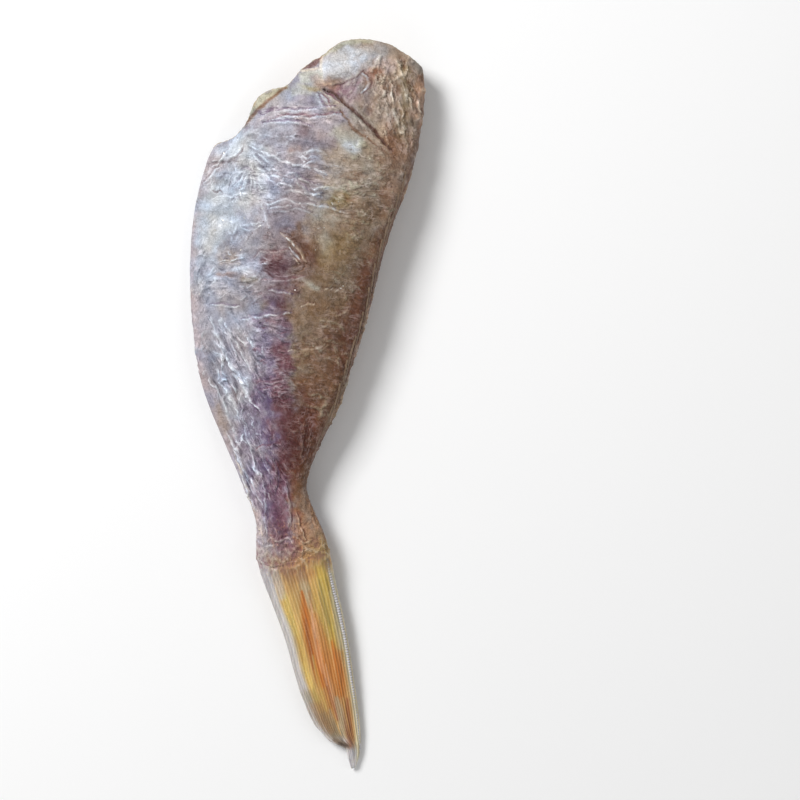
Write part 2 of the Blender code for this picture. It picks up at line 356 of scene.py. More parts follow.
@dataclass(frozen=True)
class CrinkleField:
    """A family of dried wrinkles: thin crests that run one way over a patch of skin, with painted highlights
    on them and painted shade between them.
    """

    heart: Point2
    reach: Point2
    turn: float  # degrees, of the patch
    run: float  # degrees from +X, the way the crests run
    pitch: float
    stretch: float  # how much longer than wide the wrinkles are
    rise: float
    # light: the painted highlight on the crests; dark: the painted shade in the hollows
    light: Tone
    dark: Tone
    show: float
    fan: Point2 | None = None  # crests spread from here instead of running parallel

    def mask(self, spots: np.ndarray, push: np.ndarray) -> np.ndarray:
        """Gives 1 at the patch's heart and 0 outside it."""
        turn = math.radians(self.turn)
        offset = spots - np.array(self.heart)
        first = (offset[:, 0] * math.cos(turn) + offset[:, 1] * math.sin(turn)) / self.reach[0]
        second = (offset[:, 1] * math.cos(turn) - offset[:, 0] * math.sin(turn)) / self.reach[1]
        return 1.0 - ease(0.45, 1.15, np.hypot(first, second) + 0.28 * push)

    def crests(self, places: np.ndarray, seed: int) -> tuple[np.ndarray, np.ndarray, np.ndarray]:
        """Draws the family's crests, the shadows beside them and its broad swells.

        Args:
            places: places on the skin, as rows of x, y and z.
            seed: the family's own seed.

        Returns:
            Crest and shadow from 0 to 1, and the swell from about -0.4 to 0.6.
        """
        if self.fan:
            offset = places[:, :2] - np.array(self.fan)
            radius = np.hypot(offset[:, 0], offset[:, 1])
            along = radius / (self.pitch * self.stretch)
            across = np.arctan2(offset[:, 1], offset[:, 0]) * (self.reach[1] * 0.6) / self.pitch
        else:
            turn = math.radians(self.run)
            along = places[:, 0] * math.cos(turn) + places[:, 1] * math.sin(turn)
            along = along / (self.pitch * self.stretch)
            across = (places[:, 1] * math.cos(turn) - places[:, 0] * math.sin(turn)) / self.pitch
        depth = places[:, 2] / (self.pitch * 2.0)
        grain = Grain(seed)
        wander = grain.layered(places / (self.pitch * 2.6) + 5.1, 2, 0.6)
        rows = np.column_stack([along + 0.25 * wander, across + 0.75 * wander, depth]) * 0.62
        value = grain.creased(rows, 3, 0.6)
        gate = 0.45 + 0.55 * ease(-0.4, 0.3, grain.at(places / (self.pitch * 3.4) + 31.7))
        crest = ease(0.52, 0.82, value) * gate
        shadow = (1.0 - ease(0.05, 0.26, value)) * gate
        return crest, shadow, value - 0.4


FINE_RUNS = (-8.0, -62.0, 72.0)  # degrees from +X, the three ways that the finest wrinkles run


@dataclass
class SkinSample:
    """What the skin is like at a set of places."""

    height: np.ndarray  # millimetres, along the normal
    colour: np.ndarray  # sRGB
    silver: np.ndarray
    fine: np.ndarray  # how much fine wrinkling runs each of the three ways


def blend_colour(colour: np.ndarray, tone: Tone, weight: np.ndarray) -> np.ndarray:
    """Mixes a tone into colours by a weight at each."""
    return colour + weight[:, None] * (tone.rgb - colour)


@dataclass
class Hide:
    """The fish's dried skin as a rule: its stains, its wrinkles with their painted highlights and shade, and
    where the silver lies.
    """

    seed: int = 0
    upper: bool = True
    fray_size: float = 4.0  # of the noise that frays the edges
    warp_size: float = 3.6  # of the noise that bends the stains
    crumple_size: float = 2.6
    crumple_rise: float = 0.07
    cloud_size: float = 1.6  # of the darker and lighter clouds
    warm_size: float = 5.0  # of the warmer and cooler ones
    plain_fine: float = 0.26  # how much fine wrinkling there is where no family lies

    # the broad colours of both sides, from the belly to the back
    countershade = (
        Wash(Tone.SILVER, ((-13, 61, 7.5), (-18, 53, 9.5), (-21, 45, 9.5), (-23, 37, 6), (-24, 30, 5.5)),
             0.95, 0.8, 0.3),
        Wash(Tone.PEWTER, ((-21, 31, 7.5), (-19, 22, 9), (-17, 12, 8), (-14.5, 3, 6.5)), 0.8, 0.8, 0.3),
        Wash(Tone.OLIVE, ((20, 86, 14), (18, 74, 14), (14.5, 60, 12.5), (13, 50, 11.5), (9.8, 40, 11.5),
             (6.4, 30, 11), (4.4, 21, 10.2), (2.6, 12, 9), (2.4, 4, 7)), 1.0, 0.45, 0.2),
        Wash(Tone.KHAKI, ((13.5, 47, 7), (9, 38, 10), (6.6, 29, 10), (4.6, 20, 9.6), (2.6, 12, 8.6),
             (2.4, 4, 6.8), (1, -5, 5), (-0.6, -13, 3.2), (-1, -22, 3)), 0.9, 0.7, 0.25),
        Wash(Tone.UMBER, ((6.4, 14, 5.5), (4, 5, 6.2), (1.6, -4, 5.2), (-0.4, -13, 3.6), (-1.2, -20, 2.8)),
             0.85, 0.8, 0.3),
        Wash(Tone.CHESTNUT, ((0.6, -1, 4), (-0.6, -7, 4.2), (-2.4, -13, 3.2)), 0.8, 0.9),
        Wash(Tone.KHAKI, ((30.6, 82, 3.4), (30, 66, 3.4), (27.4, 57, 3.6)), 0.7, 0.8, 0.2),
        Wash(Tone.UMBER, ((27, 55, 3.6), (21.8, 38, 4.2), (17.4, 22, 4), (12.2, 6, 3.6), (5.8, -8, 3.2),
             (3.6, -24, 2.4)), 0.75, 0.8, 0.2),
        Wash(Tone.MAHOGANY, ((25.5, 64, 2.4), (21.6, 49, 2.8), (17.6, 37, 3), (13.8, 24, 3), (10.4, 12, 2.8),
             (7.4, 1, 2.4)), 0.6, 0.9, 0.3),
        Wash(Tone.MAUVE, ((0, 58, 4.4), (-2.6, 48, 6), (-5.5, 38, 6), (-7, 28, 5.5), (-6.6, 19, 4.6)), 0.85,
             0.8, 0.3),
        Wash(Tone.VIOLET, ((-7.6, 24, 3.8), (-8, 14, 4.4), (-9, 4, 4.8), (-8.6, -5, 4.6), (-8, -14, 4.2),
             (-7.4, -22, 3.6), (-6.8, -29, 2.8)), 0.8, 1.0, 0.5),
        Wash(Tone.PLUM, ((-6.2, 8, 2.4), (-5.6, -2, 3), (-5.2, -11, 3), (-5.6, -19, 2.6), (-6, -27, 2.2)),
             0.75, 1.0, 0.6),
        Wash(Tone.DUSTY_PINK, ((-26.6, 46, 1.4), (-28, 33, 1.6), (-27.2, 20, 1.6), (-25, 8, 1.6),
             (-21, -4, 1.4), (-16.6, -14, 1.4), (-13, -23, 1.3), (-11.6, -31, 1.4)), 0.55, 0.9),
    )

    washes = (
        # the cut end: bony plate, small plate, notch and rolled lip
        Wash(Tone.PEWTER, ((-11, 69, 4), (-4, 73, 4), (2, 73, 3.4)), 0.9, 0.6, 0.22),
        Wash(Tone.PALE_SAGE, ((-2.6, 74.6, 2.4), (0.4, 73.6, 1.6)), 0.6, 0.7, 0.22),
        Wash(Tone.BONE, ((-14.8, 68, 1.5), (-10.6, 72.6, 1.5), (-5.6, 75.6, 1.4)), 0.9, 0.6, 0.22),
        Wash(Tone.UMBER, ((-14.4, 67.4, 0.4), (-10.6, 71.2, 0.55), (-6.4, 74.4, 0.5), (-4.8, 75.4, 0.4)),
             0.85, 0.7, 0.22),
        Wash(Tone.SAND, ((13, 84.6, 3), (19, 82, 6.5), (20.5, 72, 6.5), (20, 64, 5)), 0.85, 0.8, 0.22),
        Wash(Tone.PLATE_GREY, ((5.2, 79.6, 2.6), (8.8, 81, 4.2), (12.4, 82.6, 3.4)), 0.95, 0.45, 0.15),
        Wash(Tone.BONE, ((3.5, 82.4, 0.8), (7.8, 85, 1), (12, 86, 1), (15.5, 86.2, 0.8)), 0.8, 0.7, 0.22),
        Wash(Tone.CREAM, ((3.9, 82.6, 0.5), (3.5, 79.6, 0.5), (4.5, 75.7, 0.5), (8, 76.5, 0.4),
             (10.8, 77.5, 0.4), (12.9, 79.4, 0.4)), 0.7, 0.7, 0.22),
        # painted highlight on the bony plate
        Wash(Tone.HIGHLIGHT_ICE, ((12.4, 81.2, 0.5), (14, 82.2, 0.55)), 1.0, 0.9, 0.22),
        Wash(Tone.PALE_SAGE, ((-0.2, 77.4, 1.7), (2.2, 77.2, 1.9)), 0.9, 0.4, 0.22),
        Wash(Tone.MAUVE, ((2.2, 76.8, 1.3),), 0.5, 0.7, 0.22),
        Wash(Tone.BONE, ((-1.9, 76.2, 0.9), (0.2, 74.9, 1), (3.2, 74.6, 0.8)), 0.6, 1.0, 0.22),
        Wash(Tone.OCHRE, ((0.6, 74.6, 0.5), (3.4, 74.3, 0.5)), 0.5, 1.0, 0.22),
        Wash(Tone.CREAM, ((-1, 79.2, 0.35), (2.8, 79.7, 0.35)), 0.7, 0.7, 0.22),
        Wash(Tone.WINE_BROWN, ((-0.8, 80, 0.5), (1.4, 81, 0.9), (3.2, 82.2, 0.9)), 0.6, 0.4, 0.22),
        # the shoulder and the nape
        Wash(Tone.LAVENDER, ((-10.5, 66, 3.8), (-5, 66, 4.4), (1.5, 66, 4.2)), 0.8, 0.7, 0.22),
        Wash(Tone.VIOLET_BLUE, ((-2.6, 72, 1.5), (1.2, 71.6, 1.6)), 0.4, 0.7, 0.22),
        Wash(Tone.DUSTY_PINK, ((-10.5, 69.4, 1.6), (-3, 69.2, 2.2), (4, 68.8, 2.2), (8, 67.6, 1.6)), 0.5, 0.7,
             0.22),
        Wash(Tone.PEWTER, ((-10, 64.4, 3), (-6, 63.8, 3)), 0.7, 0.7, 0.22),
        Wash(Tone.MAUVE, ((-2.6, 66.6, 2.6), (0.6, 64, 3.2), (5, 62.6, 2.6)), 0.75, 0.9, 0.22),
        Wash(Tone.MAROON, ((-0.3, 64.6, 1.9),), 0.4, 1.0, 0.22),
        Wash(Tone.RUST, ((-3.7, 60.2, 1), (-1.5, 60.4, 0.9)), 0.5, 1.0, 0.5),
        Wash(Tone.PALE_SAGE, ((7.5, 64.2, 2.2), (10.6, 62.6, 2.2), (12, 60.6, 2)), 0.6, 0.8, 0.22),
        Wash(Tone.PLATE_GREY, ((9.4, 61.4, 1.1), (12.4, 60.9, 1.4)), 0.7, 1.0, 0.5),
        Wash(Tone.SAND, ((9.6, 69.2, 1), (13.2, 65.8, 1.1), (17.2, 62, 1.1)), 0.6, 0.7, 0.22),
        Wash(Tone.MAUVE, ((8.6, 74.6, 2.6), (13.6, 74.6, 2.6), (14.6, 70, 2.4)), 0.6, 0.9, 0.22),
        Wash(Tone.PLUM, ((5.8, 74.3, 1), (8.6, 74.2, 1.6), (11.2, 74.7, 1)), 0.55, 0.7, 0.22),
        Wash(Tone.DUSTY_PINK, ((15.5, 82.2, 2), (19.6, 80, 2.2)), 0.6, 0.9, 0.22),
        Wash(Tone.RUST, ((13.4, 79.6, 1.4), (16.4, 79, 1.7)), 0.45, 1.0, 0.5),
        Wash(Tone.OCHRE, ((22.6, 80, 1.6), (24, 72, 1.7), (23, 64, 1.8)), 0.5, 0.9, 0.5),
        Wash(Tone.RUST, ((27, 78, 1), (27.6, 72, 1.1), (26.8, 66.5, 1)), 0.45, 0.9),
        Wash(Tone.MAHOGANY, ((20.5, 62, 2.6), (21.4, 56, 2.8), (19.8, 50, 2.8)), 0.6, 0.9, 0.22),
        # the upper belly
        Wash(Tone.DUSTY_PINK, ((-24.4, 54.5, 2.6), (-21.2, 59.5, 3.2)), 0.55, 0.9, 0.22),
        Wash(Tone.LAVENDER, ((-3.2, 57.5, 4.2), (-3.8, 51.5, 4.6)), 0.6, 0.7, 0.22),
        Wash(Tone.SILVER, ((-21, 47.4, 6), (-20, 42.4, 5.6)), 0.7, 1.0, 0.2),
        Wash(Tone.SAND, ((4.6, 57, 3), (8, 53, 3.6), (11, 50, 3)), 0.4),
        Wash(Tone.OCHRE, ((6.6, 48.2, 2), (8.8, 49, 2)), 0.8, 0.9, 0.3),
        Wash(Tone.PALE_SAGE, ((3.4, 45.8, 2.8), (6.4, 43.4, 2.6)), 0.45),
        # the middle of the side
        Wash(Tone.DOVE, ((-18.4, 38.2, 3.2), (-13.5, 38.4, 3.4), (-9.5, 38, 2.8)), 0.85, 0.9),
        Wash(Tone.SILVER, ((-16.6, 33, 2.6), (-14, 33.6, 2.2)), 0.6),
        Wash(Tone.MAROON, ((-7.4, 34.4, 3), (-5.8, 31.8, 3.2)), 0.7, 1.0, 0.3),
        # painted shade in the valley right of the bulge's rim
        Wash(Tone.UMBER, ((-1.6, 42, 1.4), (-0.6, 39, 2), (1, 36, 1.6)), 0.6),
        Wash(Tone.UMBER, ((0.4, 35, 1.6), (1.6, 32.6, 2)), 0.5),
        Wash(Tone.PALE_SAGE, ((5.2, 38.2, 2.6), (4.2, 40.4, 1.8)), 0.5),
        Wash(Tone.OCHRE, ((5.4, 34, 3.6), (8.6, 39, 3.4)), 0.45, 1.0, 0.3),
        Wash(Tone.PALE_SAGE, ((-1.2, 31, 1), (0.6, 29.6, 1.3), (2.6, 28.2, 0.9)), 0.5, 0.9, 0.22),
        Wash(Tone.SAND, ((-20.6, 37, 2.2), (-17.5, 35.6, 1.9)), 0.45, 0.9, 0.5),
        Wash(Tone.RUST, ((-21.2, 31.7, 0.9), (-17, 31.4, 1)), 0.35, 0.9, 0.6),
        Wash(Tone.DOVE, ((-15.4, 29.6, 2.8), (-11.4, 29.4, 2.8)), 0.9, 0.9, 0.5),
        Wash(Tone.MOSS, ((-14.6, 30.4, 1), (-11.8, 30, 1)), 0.4, 0.9, 0.5),
        Wash(Tone.DOVE, ((-18.6, 25.2, 2.2), (-14, 24.8, 2.4), (-11, 25.4, 2)), 0.7, 1.0, 0.5),
        Wash(Tone.KHAKI, ((-10.6, 24.4, 1.2), (-9, 24.8, 1)), 0.5),
        Wash(Tone.MAROON, ((-6.4, 25.6, 2.4), (-5.8, 23.2, 2.2)), 0.7),
        Wash(Tone.VIOLET_BLUE, ((-9.4, 19.8, 2.6), (-9.4, 14, 2.8)), 0.5, 1.0, 0.3),
        Wash(Tone.PLUM, ((-6.2, 15, 2.2), (-5.2, 11.6, 2.2)), 0.6, 1.0, 0.3),
        Wash(Tone.DUSTY_PINK, ((-26.2, 15, 2.4), (-25, 10, 2.2)), 0.6, 0.9),
        Wash(Tone.DOVE, ((-22.4, 14, 2.8), (-21.4, 8.6, 2.8)), 0.6),
        # the lower belly
        Wash(Tone.SILVER, ((-17.2, 4, 2.6), (-18, -1.4, 2.2)), 0.6),
        Wash(Tone.SAND, ((-21.4, 0.4, 1.6), (-19.8, -5, 1.5)), 0.6, 0.9),
        Wash(Tone.VIOLET_BLUE, ((-13.6, 0, 2.6), (-13.6, -8, 3), (-12.4, -14, 2.4)), 0.6),
        Wash(Tone.VIOLET, ((-9.8, 5.4, 2.6), (-9.8, 1, 2.6)), 0.6, 0.9, 0.3),
        Wash(Tone.MAROON, ((-5.2, 1.6, 3), (-5, -2.4, 3.2), (-5.2, -8, 2.8), (-5.4, -14, 2.6)), 0.75, 0.9,
             0.3),
        Wash(Tone.WINE_BROWN, ((-0.6, -4.6, 2.8), (-2.8, -9, 2.6), (-3.6, -15, 1.8)), 0.75, 0.9, 0.3),
        Wash(Tone.OCHRE, ((7.6, 1.6, 0.9), (6.4, -1.6, 1)), 0.6, 0.9, 0.5),
        Wash(Tone.SAND, ((8.4, 5, 1), (6.8, 0, 1), (4.4, -4.6, 1.2), (2.2, -9.4, 1.2)), 0.5, 0.9, 0.5),
        Wash(Tone.MAHOGANY, ((-3.6, -15.4, 1.3), (-3, -21, 1.4)), 0.45, 1.0, 0.5),
        # the tail stalk
        Wash(Tone.DUSTY_PINK, ((-12.2, -19, 1.6), (-11.4, -26, 1.8), (-10.8, -34.6, 2.2)), 0.85, 0.8),
        Wash(Tone.SAND, ((-0.6, -19.6, 1.4), (-0.4, -24, 1.8), (1, -28, 2.2), (2.8, -32.4, 2.6)), 0.8, 0.9),
        Wash(Tone.PLUM, ((-7.4, -24, 1.4), (-7, -28, 1.8), (-6.4, -30.8, 1.8)), 0.7, 0.9),
        Wash(Tone.MAHOGANY, ((-1.6, -25, 1.4), (-0.6, -29.4, 2), (-1.6, -32.4, 2)), 0.6, 1.0, 0.5),
        Wash(Tone.CHESTNUT, ((1.6, -22.6, 0.5), (3.4, -28.5, 0.5), (5, -32.8, 0.5)), 0.6, 0.9, 0.5),
        Wash(Tone.CREAM, ((-11.4, -33.6, 1.3), (-9, -35.4, 1.4)), 0.35, 0.9),
        Wash(Tone.SAND, ((-0.2, -25, 2), (1.4, -29.4, 3), (2.6, -33.4, 3.4)), 0.85, 0.9, 0.3),
        Wash(Tone.HONEY, ((-2.4, -31.6, 1.6), (-0.4, -34.4, 1.9), (1.6, -33.2, 1.6)), 0.6, 1.0, 0.5),
        Wash(Tone.OCHRE, ((1.8, -24.6, 1.4), (3.4, -28.4, 2.2), (4.4, -32.4, 2.2)), 0.55),
        Wash(Tone.PLUM, ((-7.2, -22, 2.2), (-6.6, -27.6, 2.8), (-5.6, -32.2, 3)), 0.7),
        Wash(Tone.VIOLET, ((-9.4, -19, 2), (-8.6, -24, 2.2), (-7.8, -28.4, 1.8)), 0.5, 1.0, 0.5),
        # broad stains over the rest, among them patches of painted sheen and painted shade
        Wash(Tone.KHAKI, ((-2, 40, 2.2), (-0.4, 34, 2.8), (-2, 29.5, 3.4), (-2.2, 22.5, 2.8)), 0.55),
        Wash(Tone.MAUVE, ((-7.6, 30.4, 2.8), (-7, 26.5, 2.4)), 0.5),
        Wash(Tone.VIOLET, ((-11, -13, 2), (-10.6, -20.8, 2.2)), 0.3, 1.0, 0.5),
        Wash(Tone.PLATE_GREY, ((11.6, 79.4, 2.2), (13.8, 82.4, 2.8), (18, 83.4, 2.4)), 0.5, 1.0, 0.3),
        Wash(Tone.SAND, ((26.4, 76, 1.8), (26.2, 70, 2), (23.4, 58.5, 2.2), (20.8, 50.4, 2.2)), 0.5),
        Wash(Tone.UMBER, ((17.6, 60, 2), (17.8, 54.6, 2.4)), 0.4),
        Wash(Tone.CHESTNUT, ((13, 29.6, 2.6), (10.6, 21.6, 3), (8.4, 14.6, 2.6)), 0.4),
        # painted sheen on the silver
        Wash(Tone.HIGHLIGHT_ICE, ((-11.4, 53.8, 3.6), (-8.8, 49.6, 3.4)), 0.4),
        Wash(Tone.DOVE, ((-20, 57.6, 3), (-15.6, 56.8, 3)), 0.35),
        Wash(Tone.DOVE, ((-17.2, 10, 3), (-15, 4.6, 2.8)), 0.25),
        Wash(Tone.MAUVE, ((-5.4, 61.4, 2.6), (-1.6, 60.2, 2.8)), 0.4),
        Wash(Tone.DUSTY_PINK, ((-3.6, 70.4, 2.6), (-0.4, 69.8, 2.4)), 0.5),
        Wash(Tone.DUSTY_PINK, ((3.4, 65, 2.2), (5.6, 66.4, 1.8), (9.4, 69.6, 2.2)), 0.5),
        Wash(Tone.SAND, ((3.4, 17.6, 2.4), (3.8, 8, 2.6), (3.9, -1, 2.2)), 0.3),
        Wash(Tone.SILVER, ((-13.4, 36.4, 2.4),), 0.4),
        Wash(Tone.SILVER, ((-10.8, 11, 2.2),), 0.35),
        Wash(Tone.WINE_BROWN, ((-2, 3, 2), (-1.8, -0.6, 2)), 0.3),
        Wash(Tone.MAROON, ((-5.6, 32.8, 2.4), (-4.8, 28.4, 2.8)), 0.5),
        # painted shade in the valley right of the bulge's rim
        Wash(Tone.UMBER, ((0.4, 34, 2), (-1, 30, 2)), 0.45),
        Wash(Tone.DUSTY_PINK, ((12.6, 80, 2.4), (11, 76.6, 3), (9.4, 69, 2.6)), 0.55),
        Wash(Tone.SALMON, ((3.7, 75.6, 1.6), (6.6, 75.4, 1.6)), 0.3),
        Wash(Tone.SAND, ((26.4, 75, 1.6), (26.6, 69, 1.8)), 0.5),
        Wash(Tone.LAVENDER, ((-7.6, 22.6, 2), (-7.8, 18.4, 2.2)), 0.45),
        # painted sheen on the silver
        Wash(Tone.HIGHLIGHT_ICE, ((-20.4, 60.4, 2), (-17, 62, 2.2)), 0.5),
        Wash(Tone.SAND, ((-8.2, -27, 2), (-7.4, -32, 2.4)), 0.4, 1.0, 0.5),
        Wash(Tone.HONEY, ((0.4, -27.6, 2), (1, -32, 2.4)), 0.4, 1.0, 0.5),
        Wash(Tone.OLIVE, ((12, 48, 2.8), (9.4, 41.6, 2.6)), 0.35),
        Wash(Tone.SILVER, ((-9, 66.6, 2.4), (-2, 70.6, 2.4)), 0.35),
        # painted sheen on the silver
        Wash(Tone.HIGHLIGHT_ICE, ((-21.6, 50.6, 3.6), (-22, 43, 4), (-23.6, 38, 2.6)), 0.2, 1.0, 0.1),
        Wash(Tone.PLATE_GREY, ((9.6, 77.8, 2.4), (12.4, 80.8, 3.2), (15.2, 84.2, 2.6)), 0.6, 1.0, 0.3),
        Wash(Tone.SALMON, ((3.2, 75.7, 1.7), (7, 75.5, 1.7)), 0.25),
        Wash(Tone.SALMON, ((26.4, 75.2, 1.8), (26.4, 69.8, 1.8)), 0.3),
        Wash(Tone.KHAKI, ((23.4, 68.6, 2), (23.2, 62.6, 2.2)), 0.4),
        Wash(Tone.DUSTY_PINK, ((8.6, 68, 2.4), (10.4, 66, 2.2)), 0.4),
        Wash(Tone.DUSTY_PINK, ((2.4, 65, 2.4), (4.8, 63.8, 2.4)), 0.5),
        # painted sheen on the shoulder
        Wash(Tone.HIGHLIGHT_ICE, ((-7, 67.4, 2.4), (-3, 66.8, 2.4)), 0.3),
        # painted sheen on the silver
        Wash(Tone.HIGHLIGHT_ICE, ((-14.8, 33.4, 2.4), (-12, 32.8, 2.2)), 0.3),
        Wash(Tone.PEWTER, ((-11, 12, 2.2), (-10.4, 8.4, 2.2)), 0.35),
        # a darker patch in the same slate grey
        Wash(Tone.SHADE_SLATE, ((-16.4, 9.4, 2.2), (-15.8, 5.8, 2.2)), 0.3),
        Wash(Tone.PLUM, ((-7.8, -19.8, 2.6), (-4.8, -21.6, 2.6)), 0.5),
        Wash(Tone.UMBER, ((16.2, 39, 2.8), (14.2, 32, 3.2), (11.6, 24, 3.2), (9, 15, 3)), 0.55, 1.0, 0.3),
        Wash(Tone.CHESTNUT, ((15.6, 35, 1.6), (12.6, 25, 2), (10, 16, 2)), 0.35, 1.0, 0.3),
        Wash(Tone.SAND, ((21.4, 53, 2.2), (20.2, 47.6, 2.2)), 0.4),
        Wash(Tone.KHAKI, ((1.8, 36.6, 2.2), (1.4, 31.6, 2.4)), 0.6, 1.0, 0.3),
        Wash(Tone.MAROON, ((-8.6, 33.9, 2.6), (-4.8, 33.4, 2.8)), 0.45, 1.0, 0.3),
        # painted shade in the valley right of the bulge's rim
        Wash(Tone.SHADE_BROWN, ((-2, 38.6, 2.4), (0.8, 35.2, 2.6), (-0.6, 31.2, 2.4)), 0.4, 1.0, 0.3),
        Wash(Tone.SHADE_BROWN, ((-2.6, 41.2, 0.9), (-0.2, 38.2, 1), (1.4, 35.4, 1)), 0.5, 1.0, 0.3),
        Wash(Tone.MAROON, ((-5, 30.5, 2.4), (-4.8, 26, 2.6), (-6.6, 18, 2.4), (-5.8, 12, 2.8),
             (-4.6, 7, 2.4)), 0.3),
        Wash(Tone.CHESTNUT, ((-2.2, 3.8, 2.4), (0.6, 1.8, 2.6), (-1.6, -2, 2.2)), 0.35),
        Wash(Tone.VIOLET, ((-10.5, -4.6, 2.2), (-10.4, -8.6, 2.2)), 0.3),
        Wash(Tone.LAVENDER, ((-16.2, 14, 2.4), (-16, 6, 2.4)), 0.45),
        Wash(Tone.PLUM, ((9.2, 75.6, 2), (14.6, 78, 2.2)), 0.25),
        Wash(Tone.KHAKI, ((20.7, 74.6, 2.4), (20.6, 70.6, 2.4)), 0.3),
        # painted highlight on the bony plate
        Wash(Tone.HIGHLIGHT_ICE, ((12.2, 81.4, 2.2), (12.2, 78.2, 1.8)), 0.35),
        Wash(Tone.MAUVE, ((-16.4, 14, 2.6), (-16, 4, 2.6)), 0.35),
        # painted shade in the valley right of the bulge's rim
        Wash(Tone.SHADE_BROWN, ((0.9, 34, 2.2), (-1.8, 30.6, 2)), 0.35, 1.0, 0.3),
        Wash(Tone.PLUM, ((-7.8, -18.8, 2.4), (-7.2, -23, 2.4)), 0.4),
        Wash(Tone.HONEY, ((-2.2, -25, 1.8), (-1.6, -28.4, 1.8)), 0.3),
        Wash(Tone.UMBER, ((3.8, 8, 2.4), (2.6, 2, 2.4)), 0.4),
        Wash(Tone.VIOLET, ((-8.2, -18, 2.2), (-7.4, -23, 2.2), (-6.8, -28, 2)), 0.4),
        Wash(Tone.LAVENDER, ((-7.6, 21.6, 2.4), (-7.6, 16.6, 2.2)), 0.4),
        Wash(Tone.PLUM, ((9.2, 73.4, 2), (11.4, 72.4, 2)), 0.3),
        Wash(Tone.LAVENDER, ((-2, 58.6, 2.6),), 0.4),
        Wash(Tone.PALE_SAGE, ((12.2, 50.2, 2.6),), 0.3),
        Wash(Tone.WINE_BROWN, ((-4.6, -0.6, 2.2), (-2.2, -6.6, 2.4), (-2.2, -10.4, 2.2)), 0.35),
        Wash(Tone.VIOLET, ((-11.2, -13, 2), (-10.2, -17.6, 2)), 0.2),
        Wash(Tone.MAHOGANY, ((14.6, 76.4, 1.8), (16.6, 78.8, 1.6)), 0.3),
        Wash(Tone.UMBER, ((19.9, 61.8, 2), (22, 60.2, 2)), 0.25),
        Wash(Tone.WINE_BROWN, ((-1.6, -5.6, 2.2), (-2, -10.6, 2.2)), 0.3),
        Wash(Tone.CHESTNUT, ((15.4, 31, 2.6), (12, 20, 3), (9.4, 11, 2.8)), 0.25),
        Wash(Tone.UMBER, ((8.2, 9, 3), (5.6, 1, 3)), 0.35),
        Wash(Tone.CHESTNUT, ((3.6, -5, 2.8), (1.8, -12, 2.4)), 0.4),
        Wash(Tone.HONEY, ((-1.8, -14.6, 1.8), (-2.6, -20.4, 2)), 0.2),
        Wash(Tone.HONEY, ((0.6, -22.6, 1.6), (2.6, -27, 2.4), (4, -31.4, 2.2)), 0.3),
        Wash(Tone.MAHOGANY, ((1.8, -23, 0.9), (4.4, -28.6, 1), (5.6, -32.4, 0.9)), 0.35),
        Wash(Tone.PALE_SAGE, ((-0.9, 30.3, 0.7), (1, 29.2, 1.3), (3, 27.7, 0.9)), 0.5),
    )

    matt_plate = Wash(Tone.PLATE_GREY, ((-6, 74, 4), (1, 77.5, 3.4), (8, 80, 5.6), (15, 83, 4.4)), 0.9, 0.6,
                      0.22)

